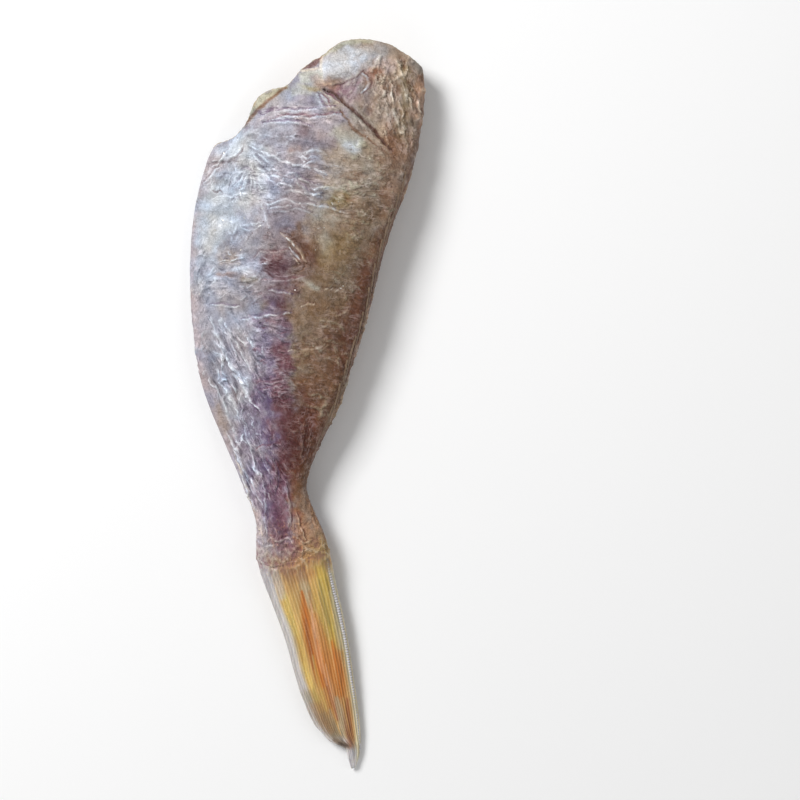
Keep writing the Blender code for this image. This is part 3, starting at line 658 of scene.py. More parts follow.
    # each family's crests get a painted highlight and its hollows painted shade
    fields = (
        CrinkleField((-1.4, 68.9), (14, 3.6), 0, 2, 1.2, 6, 0.24, Tone.DUSTY_PINK, Tone.VIOLET, 0.85),
        CrinkleField((-1, 54.5), (12, 8), -10, -14, 1.5, 6, 0.24, Tone.HIGHLIGHT_ICE, Tone.DOVE, 0.8),
        CrinkleField((-12, 54.5), (7, 7), 0, 0, 1.3, 6, 0.26, Tone.HIGHLIGHT_ICE, Tone.SHADE_SLATE, 0.9, fan=(-13, 60.5)),
        CrinkleField((-20, 55.5), (7, 5), 40, 48, 1.25, 5, 0.18, Tone.HIGHLIGHT_ICE, Tone.SHADE_SLATE, 0.75),
        CrinkleField((-19.2, 45), (9, 9), 0, 40, 1.0, 5, 0.08, Tone.HIGHLIGHT_ICE, Tone.PEWTER, 0.4),
        CrinkleField((-17.5, 31.5), (10, 8), 0, 12, 1.5, 4, 0.28, Tone.HIGHLIGHT_ICE, Tone.SHADE_SLATE, 0.9),
        CrinkleField((-25.5, 24), (3, 20), 0, 82, 1.2, 5, 0.18, Tone.SILVER, Tone.SHADE_SLATE, 0.7),
        CrinkleField((-15.8, 9), (9, 16), 14, -58, 1.7, 7, 0.42, Tone.HIGHLIGHT_ICE, Tone.SHADE_SLATE, 1.0),
        CrinkleField((-12.6, -12), (5, 16), 14, -66, 1.3, 7, 0.3, Tone.HIGHLIGHT_ICE, Tone.SHADE_SLATE, 0.9),
        CrinkleField((-5.8, 35), (7, 10), 0, -4, 1.5, 4, 0.28, Tone.DUSTY_PINK, Tone.MAROON, 0.45),
        CrinkleField((-7.5, 12), (6.5, 16), 12, -10, 1.2, 4, 0.26, Tone.LAVENDER, Tone.PLUM, 0.75),
        CrinkleField((-7.4, -14), (4, 14), 8, -62, 0.9, 3, 0.2, Tone.DUSTY_PINK, Tone.PLUM, 0.7),
        CrinkleField((-4.6, -31), (7, 6), 0, 60, 0.8, 1.6, 0.16, Tone.SALMON, Tone.MAROON, 0.6),
        CrinkleField((13, 51), (10, 14), 0, -16, 1.3, 6, 0.32, Tone.BONE, Tone.UMBER, 0.7),
        CrinkleField((22.5, 70), (8, 18), 6, 98, 1.1, 6, 0.36, Tone.CREAM, Tone.UMBER, 0.85),
        CrinkleField((7, 16), (9, 30), -18, -26, 1.3, 6, 0.26, Tone.BONE, Tone.SHADE_BROWN, 0.55),
        CrinkleField((2, -16), (4, 18), 6, 84, 0.8, 4, 0.18, Tone.SAND, Tone.SHADE_BROWN, 0.7),
        CrinkleField((-10.6, -30), (2.6, 9), 0, 88, 0.8, 5, 0.2, Tone.CREAM, Tone.MAUVE, 0.7),
        CrinkleField((10, 75), (5, 3), 20, 52, 0.9, 3, 0.16, Tone.CREAM, Tone.PLUM, 0.6),
        CrinkleField((-8, 63), (10, 4), -8, 6, 1.1, 5, 0.12, Tone.HIGHLIGHT_ICE, Tone.MAUVE, 0.5),
        CrinkleField((14.5, 69), (5, 6), 0, 110, 1.1, 3, 0.14, Tone.CREAM, Tone.KHAKI, 0.55),
        CrinkleField((9, 81), (6, 4), 10, 20, 1.6, 2, 0.07, Tone.HIGHLIGHT_ICE, Tone.DOVE, 0.35),
        CrinkleField((17, 75), (7, 9), 0, 58, 1.2, 6, 0.28, Tone.CREAM, Tone.UMBER, 0.6),
        CrinkleField((22, 42), (6, 22), -19, 104, 1.1, 5, 0.1, Tone.BONE, Tone.SHADE_BROWN, 0.5),
        CrinkleField((11, 8), (5, 20), -22, 108, 1.1, 5, 0.08, Tone.BONE, Tone.SHADE_BROWN, 0.5),
    )

    # each wrinkle gets a painted highlight on its crest and painted shadow beside it; a groove is painted in
    # its shade
    crinkles = (
        # fan and bands of the shoulder
        Crinkle(((2.8, 74.3), (4.4, 72.5), (5.8, 70.3)), 0.42, 0.3, Tone.HIGHLIGHT_ICE, Tone.PLUM, 0.9, 0.85),
        Crinkle(((3.5, 74.3), (5.8, 72.7), (8.2, 71.2)), 0.42, 0.28, Tone.CREAM, Tone.PLUM, 0.9, 0.85),
        Crinkle(((2.3, 73.9), (3.4, 71.7), (4.9, 69.6)), 0.42, 0.28, Tone.HIGHLIGHT_ICE, Tone.VIOLET, 0.9, 0.85),
        Crinkle(((-10.5, 69.1), (-5, 69.9), (-0.3, 69.6), (8, 71)), 0.42, 0.28, Tone.HIGHLIGHT_ICE, Tone.VIOLET, 0.7,
                0.85),
        Crinkle(((-8.6, 67.6), (-3.9, 68.4), (2.1, 67.9), (9.1, 68.9)), 0.45, 0.3, Tone.HIGHLIGHT_ICE, Tone.PLUM, 0.7,
                0.85),
        Crinkle(((-10.5, 67), (-4, 67), (1.4, 65.9)), 0.45, 0.28, Tone.HIGHLIGHT_ICE, Tone.VIOLET, 0.7, 0.85),
        # the long crease behind the gill and the one beside it, painted as brown shade, with a painted
        # highlight on the lip beside the first
        Crinkle(((3.6, 74), (7.5, 71.8), (11.3, 68.3), (14.3, 65.3), (17.2, 62.2), (19.4, 59.8)), 0.5, 0.3,
                Tone.CREAM, Tone.SHADE_BROWN, 0.45, 0.0),
        Crinkle(((4.4, 74.8), (8.2, 72.5), (12.2, 68.9), (15, 66.1), (17.9, 63), (20.4, 60.2)), 0.55, -0.6,
                Tone.SHADE_BROWN, Tone.SHADE_BROWN, 0.9, 0.0),
        Crinkle(((8, 69.6), (9.1, 68.4), (11.3, 65.4), (14.1, 63.5), (17.2, 61.1)), 0.42, -0.35, Tone.UMBER,
                Tone.UMBER, 0.75, 0.0),
        Crinkle(((12.6, 78.8), (14.2, 77.6), (14.9, 75.6), (12.9, 73.5)), 0.4, 0.26, Tone.HIGHLIGHT_ICE, Tone.MAROON,
                0.9, 0.8),
        Crinkle(((4.6, 75.6), (8.2, 76.4), (11.4, 77.6), (13.4, 79.2)), 0.35, 0.12, Tone.CREAM, Tone.MAROON,
                0.5, 0.7, -1),
        # the upper belly: a fan of folds and two long waves
        Crinkle(((-13.6, 61.9), (-10.5, 60.4), (-6.5, 58.6), (-3.1, 57.1), (0.5, 56.4), (4.8, 54.6)), 0.6,
                0.42, show=0.9, shadow=0.9, shadow_side=-1),
        Crinkle(((-12.2, 58.4), (-10.6, 55.8), (-8.5, 53.8)), 0.75, 0.42, show=0.9, shadow=0.9),
        Crinkle(((-12.6, 59.9), (-11.2, 58.2), (-9.6, 57.2)), 0.45, 0.3, show=0.9, shadow=0.9),
        Crinkle(((-11.6, 59.8), (-9.8, 58.8), (-8, 56.6)), 0.45, 0.3, show=0.9, shadow=0.9, shadow_side=-1),
        Crinkle(((-3.4, 55.5), (-1.4, 54.1), (0.6, 52.6), (3.4, 52)), 0.45, 0.34, Tone.SILVER,
                Tone.VIOLET_BLUE, 0.8, 0.9),
        Crinkle(((-2.6, 53.6), (-1, 51.7), (0.6, 50.9)), 0.45, 0.34, Tone.SILVER, Tone.VIOLET_BLUE, 0.8, 0.9),
        Crinkle(((-7.4, 51.9), (-5.3, 52.6), (-3.6, 52.2), (-2.9, 51)), 0.55, 0.35),
        Crinkle(((-5.8, 50.2), (-3, 50.8), (0.6, 49.8), (3.6, 50.2)), 0.5, 0.3, Tone.HIGHLIGHT_ICE, Tone.DOVE),
        Crinkle(((-10.8, 48.5), (-9.1, 47.9), (-7, 48.2), (-4.8, 48.7), (-1.6, 48.1), (4.4, 46.9), (9, 45.8)),
                0.55, 0.4, Tone.HIGHLIGHT_ICE, Tone.MAUVE, 0.8, 0.85),
        Crinkle(((-8.8, 47.2), (-6.2, 47), (-3.4, 47.5)), 0.4, 0.3, Tone.HIGHLIGHT_ICE, Tone.MAUVE, 0.7, 0.85),
        Crinkle(((-9, 46.2), (-5.6, 46), (-1.8, 46.4), (2.4, 45)), 0.5, 0.3, Tone.SILVER, Tone.MAUVE, 0.7,
                0.7),
        Crinkle(((-15.6, 56.4), (-14.3, 57), (-13, 56.3), (-12.2, 55.6)), 0.4, -0.3, Tone.SHADE_SLATE, Tone.SHADE_SLATE,
                0.8, 0.0),
        Crinkle(((-14.9, 56), (-16.6, 54.4), (-18, 52.6)), 0.5, 0.32, show=0.9, shadow=0.85),
        Crinkle(((-14.3, 55.8), (-15.3, 53.8), (-16.3, 51.8)), 0.4, 0.3, show=0.85, shadow=0.85),
        Crinkle(((-13.8, 55.4), (-14.1, 53.4), (-14.5, 51.5)), 0.4, 0.3, show=0.85, shadow=0.85),
        Crinkle(((-13.3, 55.6), (-13, 53.4), (-13.1, 51.2)), 0.4, 0.3, show=0.85, shadow=0.85),
        Crinkle(((-12.8, 55.2), (-12, 53.2), (-11.8, 51)), 0.45, 0.32, show=0.9, shadow=0.85),
        Crinkle(((-22.4, 58.6), (-19.6, 59.1), (-16.6, 60.4), (-15.2, 62.2)), 0.6, 0.38, Tone.HIGHLIGHT_ICE, Tone.MAUVE,
                0.85, 0.85, -1),
        Crinkle(((-18.8, 58.3), (-17.4, 58.6), (-15.8, 57.8)), 0.35, -0.22, Tone.DOVE, Tone.DOVE, 0.8, 0.0),
        Crinkle(((-20, 55.6), (-18, 55.3)), 0.35, -0.2, Tone.DOVE, Tone.DOVE, 0.8, 0.0),
        Crinkle(((-22.4, 51.7), (-21.4, 51.3), (-20.8, 51.7), (-20, 51.2)), 0.3, -0.2, Tone.MAUVE, Tone.MAUVE,
                0.7, 0.0),
        Crinkle(((-18.3, 49.7), (-16.3, 50.5), (-15, 48.9)), 0.45, 0.28, show=0.85, shadow=0.8,
                shadow_side=-1),
        Crinkle(((-18.1, 40.8), (-17.2, 41.8), (-16.6, 43)), 0.45, 0.28, show=0.85, shadow=0.8,
                shadow_side=-1),
        Crinkle(((-22.4, 57), (-20.4, 58.8), (-18.6, 61.4)), 0.45, 0.25, Tone.HIGHLIGHT_ICE, Tone.MAUVE, 0.8, 0.7),
        Crinkle(((-24.6, 53.4), (-22.4, 55.4), (-20.6, 57.4)), 0.45, 0.25, Tone.HIGHLIGHT_ICE, Tone.MAUVE, 0.8, 0.7),
        Crinkle(((-22.6, 49.6), (-19.4, 50.4), (-16.6, 49.8)), 0.4, 0.2, Tone.HIGHLIGHT_ICE, Tone.PEWTER, 0.8, 0.7),
        Crinkle(((-15.6, 43), (-13.2, 43.4), (-10.2, 43.5)), 0.45, 0.2),
        Crinkle(((-15.6, 43), (-14, 41.8), (-10.4, 42.7)), 0.45, 0.2),
        Crinkle(((-10.6, 47.6), (-9.6, 45.9), (-9.1, 44), (-8.4, 42.2)), 0.6, 0.34, Tone.HIGHLIGHT_ICE, Tone.MAUVE, 0.7,
                0.85),
        # the middle
        Crinkle(((-12.1, 35.2), (-10.4, 36.5), (-6.1, 36.4), (-2.4, 36.9)), 0.45, 0.25, Tone.DUSTY_PINK,
                Tone.MAROON),
        Crinkle(((-10.4, 29.8), (-6.7, 29.6), (-3, 29.9), (0, 30.8)), 0.45, 0.25, Tone.DUSTY_PINK, Tone.PLUM),
        Crinkle(((-5.6, 40.7), (-3.4, 39.2), (-1.8, 37.2), (-0.6, 35.4), (0.2, 34.2)), 0.65, 0.5, Tone.CREAM,
                Tone.SHADE_BROWN, 0.8, 0.9),
        Crinkle(((-0.2, 33.8), (-0.9, 32.7), (-1.8, 31.9)), 0.4, 0.3, Tone.DUSTY_PINK, Tone.UMBER, 0.5, 0.8),
        Crinkle(((-4.5, 39.9), (-3.2, 39), (-2.2, 37.8)), 0.35, 0.25, Tone.HIGHLIGHT_ICE, Tone.WINE_BROWN, 0.9),
        Crinkle(((-3.9, 37.7), (-2.2, 35.9), (-0.8, 34.2)), 0.35, 0.25, Tone.HIGHLIGHT_ICE, Tone.WINE_BROWN, 0.9),
        Crinkle(((-3.5, 36.3), (-2.6, 35.2), (-1.7, 34)), 0.3, 0.2, Tone.CREAM, Tone.WINE_BROWN),
        Crinkle(((-9.6, 32.4), (-7.4, 31.2), (-5.2, 30.6), (-2.4, 31.2)), 0.4, 0.34, Tone.DUSTY_PINK,
                Tone.MAROON, 0.6, 0.95, -1),
        Crinkle(((4, 27.4), (6.2, 27.7), (8.8, 27.2)), 0.35, 0.25, Tone.CREAM, Tone.SHADE_BROWN, 0.7),
        Crinkle(((-0.9, 23.7), (0.8, 24.3), (2.4, 24)), 0.35, 0.25, Tone.CREAM, Tone.SHADE_BROWN),
        Crinkle(((-8.8, 27.7), (-6, 27), (-3.2, 26.6)), 0.35, 0.25, Tone.HIGHLIGHT_ICE, Tone.VIOLET, 0.7, 0.8),
        Crinkle(((6.8, 21.4), (9, 22.4), (10.4, 24)), 0.35, 0.22, Tone.CREAM, Tone.SHADE_BROWN, 0.6),
        Crinkle(((3.6, 31.2), (6.4, 31.8), (9.4, 31)), 0.35, 0.22, Tone.BONE, Tone.UMBER, 0.6),
        Crinkle(((2.4, 18.4), (5, 19.2), (7.2, 18.6)), 0.3, 0.2, Tone.BONE, Tone.UMBER, 0.55),
        Crinkle(((-23.1, 24.4), (-19.8, 24.1), (-15.6, 23.9)), 0.42, 0.3, Tone.HIGHLIGHT_ICE, Tone.VIOLET_BLUE, 0.95,
                0.85),
        Crinkle(((-15.1, 20.8), (-10.4, 21.4), (-3.4, 22.2)), 0.48, 0.34, Tone.HIGHLIGHT_ICE, Tone.VIOLET_BLUE, 0.95,
                0.9),
        Crinkle(((-4, 13.3), (0.4, 13.6), (4.8, 14.4)), 0.32, 0.16, Tone.CREAM, Tone.UMBER, 0.7, 0.4),
        Crinkle(((-3.6, 11.2), (0.6, 11.8)), 0.3, 0.1, Tone.DUSTY_PINK, Tone.UMBER, 0.6, 0.3),
        Crinkle(((-6.9, 10.1), (-4, 6.8), (-1, 3.1)), 0.4, 0.16, Tone.DUSTY_PINK, Tone.CHESTNUT, 0.45, 0.5),
        Crinkle(((-10.9, 6.1), (-8, 5.6), (-5, 6.4)), 0.4, 0.16, Tone.DUSTY_PINK, Tone.PLUM),
        Crinkle(((-10.4, 4.2), (-7.6, 4.7), (-5.2, 5.4)), 0.4, 0.16, Tone.DUSTY_PINK, Tone.PLUM),
        Crinkle(((-5.5, 1.8), (-6.4, 3.1), (-5.2, 4.5), (-3.4, 4.8)), 0.35, 0.18, Tone.DUSTY_PINK, Tone.PLUM,
                0.6),
        Crinkle(((-11.8, -9.8), (-8.4, -9.3), (-6, -8.5)), 0.45, 0.22, Tone.DUSTY_PINK, Tone.PLUM, 0.5, 0.9),
        # the tail stalk, and the skin rucked up at its end
        Crinkle(((-10.2, -17), (-9.6, -21.6), (-9.9, -26.4), (-9.4, -30)), 0.45, 0.3, Tone.HIGHLIGHT_ICE, Tone.VIOLET,
                0.6, 0.8),
        Crinkle(((-7.6, -12), (-6.9, -16.4), (-7.2, -20)), 0.4, 0.26, Tone.LAVENDER, Tone.VIOLET, 0.6, 0.9),
        Crinkle(((-4.6, -18), (-3.9, -23.4), (-3.6, -27.6)), 0.4, 0.26, Tone.DUSTY_PINK, Tone.MAROON, 0.6,
                0.9),
        Crinkle(((-2.6, -24), (-1.4, -28), (-0.2, -31)), 0.35, 0.2, Tone.CREAM, Tone.CHESTNUT, 0.5, 0.8),
        Crinkle(((-11.6, -31.4), (-9.4, -32.8), (-7.6, -32.2)), 0.5, 0.34, Tone.HIGHLIGHT_ICE, Tone.MAUVE, 0.8, 0.8),
        Crinkle(((-8.6, -30.2), (-6.4, -31.6), (-4.6, -30.8), (-3, -32)), 0.45, 0.34, Tone.CREAM, Tone.PLUM,
                0.7, 0.9),
        Crinkle(((-6, -33.8), (-3.6, -33), (-1.6, -34), (0.6, -33.2)), 0.45, 0.34, Tone.CREAM, Tone.PLUM, 0.7,
                0.9),
        Crinkle(((-2.2, -30.4), (-0.6, -31.8), (1.4, -30.8)), 0.4, 0.3, Tone.CREAM, Tone.CHESTNUT, 0.6, 0.8),
        # the back fin's pressed base, with painted shadow along its inner side
        Crinkle(((25.6, 58), (22.8, 49), (19.6, 39.6), (16.6, 29.6), (13.4, 18.6), (10.2, 8.4), (7, -0.8)),
                0.42, 0.35, Tone.CREAM, Tone.SHADE_BROWN, 0.6, 0.85, -1),
        Crinkle(((21.4, 42.6), (18.2, 32.8), (15, 21.6), (11.8, 10.8)), 0.3, 0.25, Tone.BONE, Tone.DEEP_SHADOW, 0.6,
                0.7, -1),
        # scale lumps along the lower back edge
        Crinkle(((9.4, 8.4), (8.8, 6.8)), 0.5, 0.35, Tone.BONE, Tone.MOSS, 0.7, 0.9),
        Crinkle(((8.9, 5.4), (8.2, 3.8)), 0.6, 0.4, Tone.OCHRE, Tone.MOSS, 0.8, 0.9),
        Crinkle(((8.4, 2.8), (7.8, 1.2)), 0.5, 0.35, Tone.BONE, Tone.MOSS, 0.7, 0.9),
        Crinkle(((7, 2), (6.8, 0.4)), 0.5, 0.3, Tone.OCHRE, Tone.MOSS, 0.8, 0.9),
        Crinkle(((7.4, -0.4), (6.4, -2.2)), 0.6, 0.4, Tone.BONE, Tone.CHESTNUT, 0.7, 0.9),
        Crinkle(((5.6, -3.2), (4.8, -4.6)), 0.45, 0.3, Tone.OCHRE, Tone.CHESTNUT, 0.7, 0.9),
        # the silvery strands of the lower belly
        Crinkle(((-23.2, 21.7), (-19.9, 14.9), (-17.5, 9)), 0.5, 0.28),
        Crinkle(((-19.9, 21.2), (-16.3, 14.9), (-12.8, 8.5)), 0.5, 0.28),
        Crinkle(((-19.9, 13.7), (-17.3, 9.4), (-14.9, 7.1)), 0.8, 0.34, show=0.95),
        Crinkle(((-17.5, 8.5), (-15.4, 6.1), (-13.8, 2.4)), 0.9, 0.36, show=0.95),
        Crinkle(((-20.6, 6.1), (-18.5, 2.8), (-16.1, -1.4)), 0.8, 0.34, show=0.95),
        Crinkle(((-19.1, 7.4), (-17.4, 4.4), (-16.4, 1)), 0.5, -0.3, Tone.MAUVE, Tone.MAUVE, 0.7, 0.0),
        Crinkle(((-21.8, 5.4), (-19.9, 1.2), (-17.5, -5.2), (-15.6, -9.4)), 0.55, 0.3),
        Crinkle(((-18.9, -5.7), (-16.6, -11.1), (-13.8, -17)), 0.6, 0.3, Tone.HIGHLIGHT_ICE, Tone.MAUVE),
        Crinkle(((-17.3, -11.1), (-14.9, -17), (-13, -22.9)), 0.45, 0.26, Tone.CREAM, Tone.MAUVE),
        Crinkle(((-15, -4), (-13.2, -9.6), (-11.6, -16)), 0.5, 0.26),
    )

    def __post_init__(self) -> None:
        """Sets up the noise that every stain and wrinkle of this side shares."""
        self.fray = Grain(400 + self.seed)
        self.crumple = Grain(500 + self.seed)

    def sample(self, places: np.ndarray) -> SkinSample:
        """Works out the skin at a set of places.

        Args:
            places: rows of x, y and z in millimetres.

        Returns:
            Height, colour and the masks that the material reads.
        """
        spots = places[:, :2]
        push = self.fray.layered(places / self.fray_size, 4, 0.6)
        warp = np.column_stack(
            [self.fray.layered(places / self.warp_size + shift, 3, 0.65) for shift in (7.7, 21.3)]
        )
        colour = np.tile(Tone.LAVENDER.rgb, (len(places), 1))
        for wash in self.countershade + (self.washes if self.upper else ()):
            colour = blend_colour(colour, wash.tone, wash.weight(spots, push, warp))
        height, colour, fine = self.wrinkled(places, push, colour)
        if self.upper:
            height, colour = self.hand_laid(spots, push, height, colour)
        colour = self.mottled(places, colour)
        bright = colour.mean(axis=1)
        warm = colour[:, 0] - colour[:, 2]
        silver = ease(0.45, 0.78, bright) * (1.0 - ease(-0.01, 0.09, warm))
        if self.upper:
            silver = silver * (1.0 - self.matt_plate.weight(spots, push, warp))
        return SkinSample(height, np.clip(colour, 0.0, 1.0), silver, fine)

    def wrinkled(
        self, places: np.ndarray, push: np.ndarray, colour: np.ndarray
    ) -> tuple[np.ndarray, np.ndarray, np.ndarray]:
        """Lays the families of wrinkles over the skin, with painted highlights on their crests and painted
        shade in their hollows.

        Args:
            places: rows of x, y and z in millimetres.
            push: noise that frays the patches' edges.
            colour: the skin's colour so far.

        Returns:
            Height, the new colour, and how much fine wrinkling runs each of the three ways.
        """
        height = self.crumple_rise * self.crumple.layered(places / self.crumple_size, 3, 0.55)
        fine = np.full((len(places), len(FINE_RUNS)), self.plain_fine)
        for number, family in enumerate(self.fields, 1):
            mask = family.mask(places[:, :2], push)
            near = np.nonzero(mask > 0.004)[0]
            crest, shadow, swell = family.crests(places[near], self.seed + number)
            part = mask[near]
            height[near] += part * family.rise * (1.1 * swell + crest)
            # painted shade in the hollows, then a painted highlight on the crests
            mixed = blend_colour(colour[near], family.dark, part * shadow * family.show * 0.75)
            colour[near] = blend_colour(mixed, family.light, part * crest * family.show)
            for at, run in enumerate(FINE_RUNS):
                apart = abs((family.run - run + 90.0) % 180.0 - 90.0)
                strength = min(1.0, 1.15 * family.show) * max(0.0, 1.0 - (apart / 50.0) ** 2)
                fine[near, at] = np.maximum(fine[near, at], part * strength)
        return height, colour, fine

    def hand_laid(
        self, spots: np.ndarray, push: np.ndarray, height: np.ndarray, colour: np.ndarray
    ) -> tuple[np.ndarray, np.ndarray]:
        """Adds the wrinkles that stand out one by one, each with a painted highlight on its crest and painted
        shadow beside it.

        Args:
            spots: places as rows of x and y.
            push: noise that makes each wrinkle wander.
            height: the height so far.
            colour: the colour so far.

        Returns:
            The new height and colour.
        """
        wander = np.column_stack(
            [self.fray.at(self.flat(spots, 1.7)), self.fray.at(self.flat(spots, 1.9) + 9.0)]
        )
        drift = spots + 0.34 * wander + 0.12 * np.column_stack([push, -push])
        fading = 0.45 + 0.55 * ease(-0.45, 0.25, self.crumple.at(self.flat(spots, 1.3) + 50.0))
        for crinkle in self.crinkles:
            path = smooth_path(np.array(crinkle.path, float))
            taper = np.sin(np.linspace(0.06, 0.94, len(path)) * math.pi) ** 0.6
            path = np.column_stack([path, crinkle.width * taper])
            reach = crinkle.width * 3.0
            low, high = path[:, :2].min(0) - reach, path[:, :2].max(0) + reach
            near = np.nonzero(((drift > low) & (drift < high)).all(axis=1))[0]
            gap, side = beside_path(drift[near], path)
            # a groove is painted in its shade tone across its width
            if crinkle.rise < 0.0:
                crest = 1.0 - ease(0.35, 1.0, gap)
            else:
                crest = np.clip(1.0 - gap, 0.0, 1.0) ** 1.4 * fading[near]
            height[near] += crinkle.rise * crest
            # painted shadow on one side of the crest
            if crinkle.shadow:
                shade = np.clip(1.0 - np.abs(gap - 1.3) / 0.8, 0.0, 1.0) * (side == crinkle.shadow_side)
                shade = shade * fading[near]
                colour[near] = blend_colour(colour[near], crinkle.dark, shade * crinkle.shadow)
                height[near] -= 0.3 * abs(crinkle.rise) * shade
            # painted highlight along the crest, or a groove's painted shade
            colour[near] = blend_colour(colour[near], crinkle.light, crest * crinkle.show)
        return height, colour

    @staticmethod
    def flat(spots: np.ndarray, size: float) -> np.ndarray:
        """Turns places on the plan into places in noise of a given cell size."""
        return np.column_stack([spots / size, np.zeros(len(spots))])

    def mottled(self, places: np.ndarray, colour: np.ndarray) -> np.ndarray:
        """Breaks the colour up with cloudy stains."""
        cloud = self.fray.layered(places / self.cloud_size + 40.0, 3, 0.65)
        warm = self.fray.layered(places / self.warm_size + 80.0, 2, 0.5)
        colour = colour * (1.0 + 0.045 * cloud)[:, None]
        return colour * (1.0 + 0.05 * warm[:, None] * np.array([1.0, 0.1, -1.0]))


@dataclass
class TailSkin:
    """The folded tail fin's membrane and rays as a rule, in shares along and across the fin."""

    lower_edge: tuple[Point2, ...] = (
        (-12.3, -34.4), (-11.4, -38.4), (-8.9, -45.4), (-5.3, -55.4), (-2.6, -65.2), (2.1, -76.2), (6, -80),
        (8.9, -81), (9.6, -84), (10.4, -86.4),
    )
    upper_edge: tuple[Point2, ...] = (
        (5.6, -34.8), (7, -42), (9.4, -53.6), (11.1, -65), (12.1, -72.6), (12.6, -79.4), (12.3, -83),
        (11.4, -86.6),
    )
    start: float = -34.6  # y where the skin ends
    length: float = 51.9
    lower_margin: float = 2.5  # width of the pale margin
    upper_margin: float = 1.5
    rays: int = 21
    ray_rise: float = 0.11
    joint_length: float = 0.85
    seed: int = 60
    upper: bool = True

    # under the fin's pale margins
    washes = (
        FinWash(Tone.FIN_TAN, ((-3.5, -37.5, 9.5), (2.5, -50, 12), (7, -66, 10), (10, -84, 8)), 1.0, 0.08,
                0.0),
        FinWash(Tone.SAND, ((-12.5, -32, 6), (-3, -32.6, 6.2), (7, -31.6, 6)), 0.9),
        FinWash(Tone.DUSTY_PINK, ((-13.4, -29, 3.2), (-12, -34.8, 3.2), (-10.4, -38.4, 2.2),
                (-8.8, -42, 1.4)), 0.75),
        FinWash(Tone.HONEY, ((-6.4, -35.6, 2.2), (-2.6, -36.4, 2.6), (1.2, -35.4, 2.2)), 0.5),
        FinWash(Tone.OCHRE, ((3.2, -31, 2.4), (4.4, -34, 2.4), (4.6, -37, 1.8)), 0.6),
        FinWash(Tone.PLUM, ((-6.4, -32.4, 2.4), (-3.4, -33.4, 2.2)), 0.55, 1.0, 0.4, both_sides=False),
        FinWash(Tone.STRAW, ((-5, -45, 1.6), (-4.6, -48, 2.4), (-3.2, -53, 2.6), (-1.6, -58.5, 2),
                (0.4, -64.5, 1.6), (2.4, -69.5, 1.2))),
        FinWash(Tone.MUSTARD, ((2.8, -38.4, 1.9), (3.8, -44, 3), (4.8, -50, 2.8), (6.2, -56, 2)), 0.9),
        FinWash(Tone.FIN_GREY, ((-1.4, -39.4, 1.2), (-0.2, -43.6, 1.5), (0.6, -47, 0.8)), 0.7,
                both_sides=False),
        FinWash(Tone.FIN_WHITE, ((-8, -38.6, 1.6), (-6.8, -42, 1.8), (-6, -45, 1)), 0.65, both_sides=False),
        FinWash(Tone.AMBER, ((1.6, -49, 1), (2.8, -54, 2.6), (4.4, -60, 4), (6, -66.5, 3.8), (7.6, -73, 2.6)),
                0.95),
        FinWash(Tone.ORANGE, ((-1.2, -43.6, 0.5), (-0.3, -48.6, 1.1), (0.5, -54, 1.6), (1.9, -60, 1.5),
                (3.6, -66, 1))),
        FinWash(Tone.SALMON, ((1, -46.6, 0.3), (1.7, -53, 0.7), (2.6, -59, 0.6), (3.6, -63, 0.3)), 0.75, 0.9,
                both_sides=False),
        FinWash(Tone.ORANGE, ((2.4, -55, 0.4), (3.8, -61, 1.2), (5.4, -67.5, 0.6)), 0.6),
        FinWash(Tone.ORANGE, ((5.8, -55.5, 0.5), (7.2, -62.5, 1.5), (8.2, -68.5, 0.8)), 0.75),
        FinWash(Tone.SALMON, ((4.4, -61, 0.3), (5.8, -68, 0.8), (7.2, -74, 0.4)), 0.5, both_sides=False),
        FinWash(Tone.FIN_GREY, ((7, -69, 0.5), (8, -73.5, 1.3), (8.6, -78, 1.5)), 0.75),
        FinWash(Tone.FIN_GREY, ((5.4, -72, 0.4), (6.8, -76.6, 1)), 0.5),
        FinWash(Tone.RUST, ((4.4, -64.4, 0.3), (6, -70.4, 0.5), (7.2, -74.4, 0.3)), 0.6, 0.9,
                both_sides=False),
        FinWash(Tone.STRAW, ((6.8, -45, 0.6), (8.1, -52, 0.8), (9.6, -60, 0.7)), 0.6),
        FinWash(Tone.HONEY, ((-5.6, -38.4, 1.6), (-1.8, -39.6, 2.4), (1.6, -39, 1.8)), 0.4),
        FinWash(Tone.RUST, ((-0.3, -50, 0.3), (0.6, -56, 0.5), (1.6, -62, 0.3)), 0.5, both_sides=False),
        FinWash(Tone.SALMON, ((2, -50, 0.3), (3.2, -58, 0.5), (4.6, -66, 0.3)), 0.5, both_sides=False),
        FinWash(Tone.STRAW, ((1.4, -59, 0.3), (3, -66, 0.6), (4.6, -72, 0.4)), 0.5, both_sides=False),
        FinWash(Tone.MOSS, ((3, -41, 0.8), (4.2, -46, 1.2), (5.2, -51, 0.8)), 0.3),
        FinWash(Tone.OCHRE, ((3, -44, 1), (4.2, -50, 1.2), (5, -54, 0.8)), 0.3),
        FinWash(Tone.FIN_BONE, ((5.8, -43.6, 0.5), (6.9, -50, 0.8), (8.2, -57, 0.7)), 0.6),
        FinWash(Tone.HONEY, ((0.6, -43.6, 0.5), (1, -47.6, 0.8)), 0.4, both_sides=False),
        FinWash(Tone.AMBER, ((-2.8, -55.4, 1.2), (-1.4, -60, 1.2)), 0.25, both_sides=False),
    )

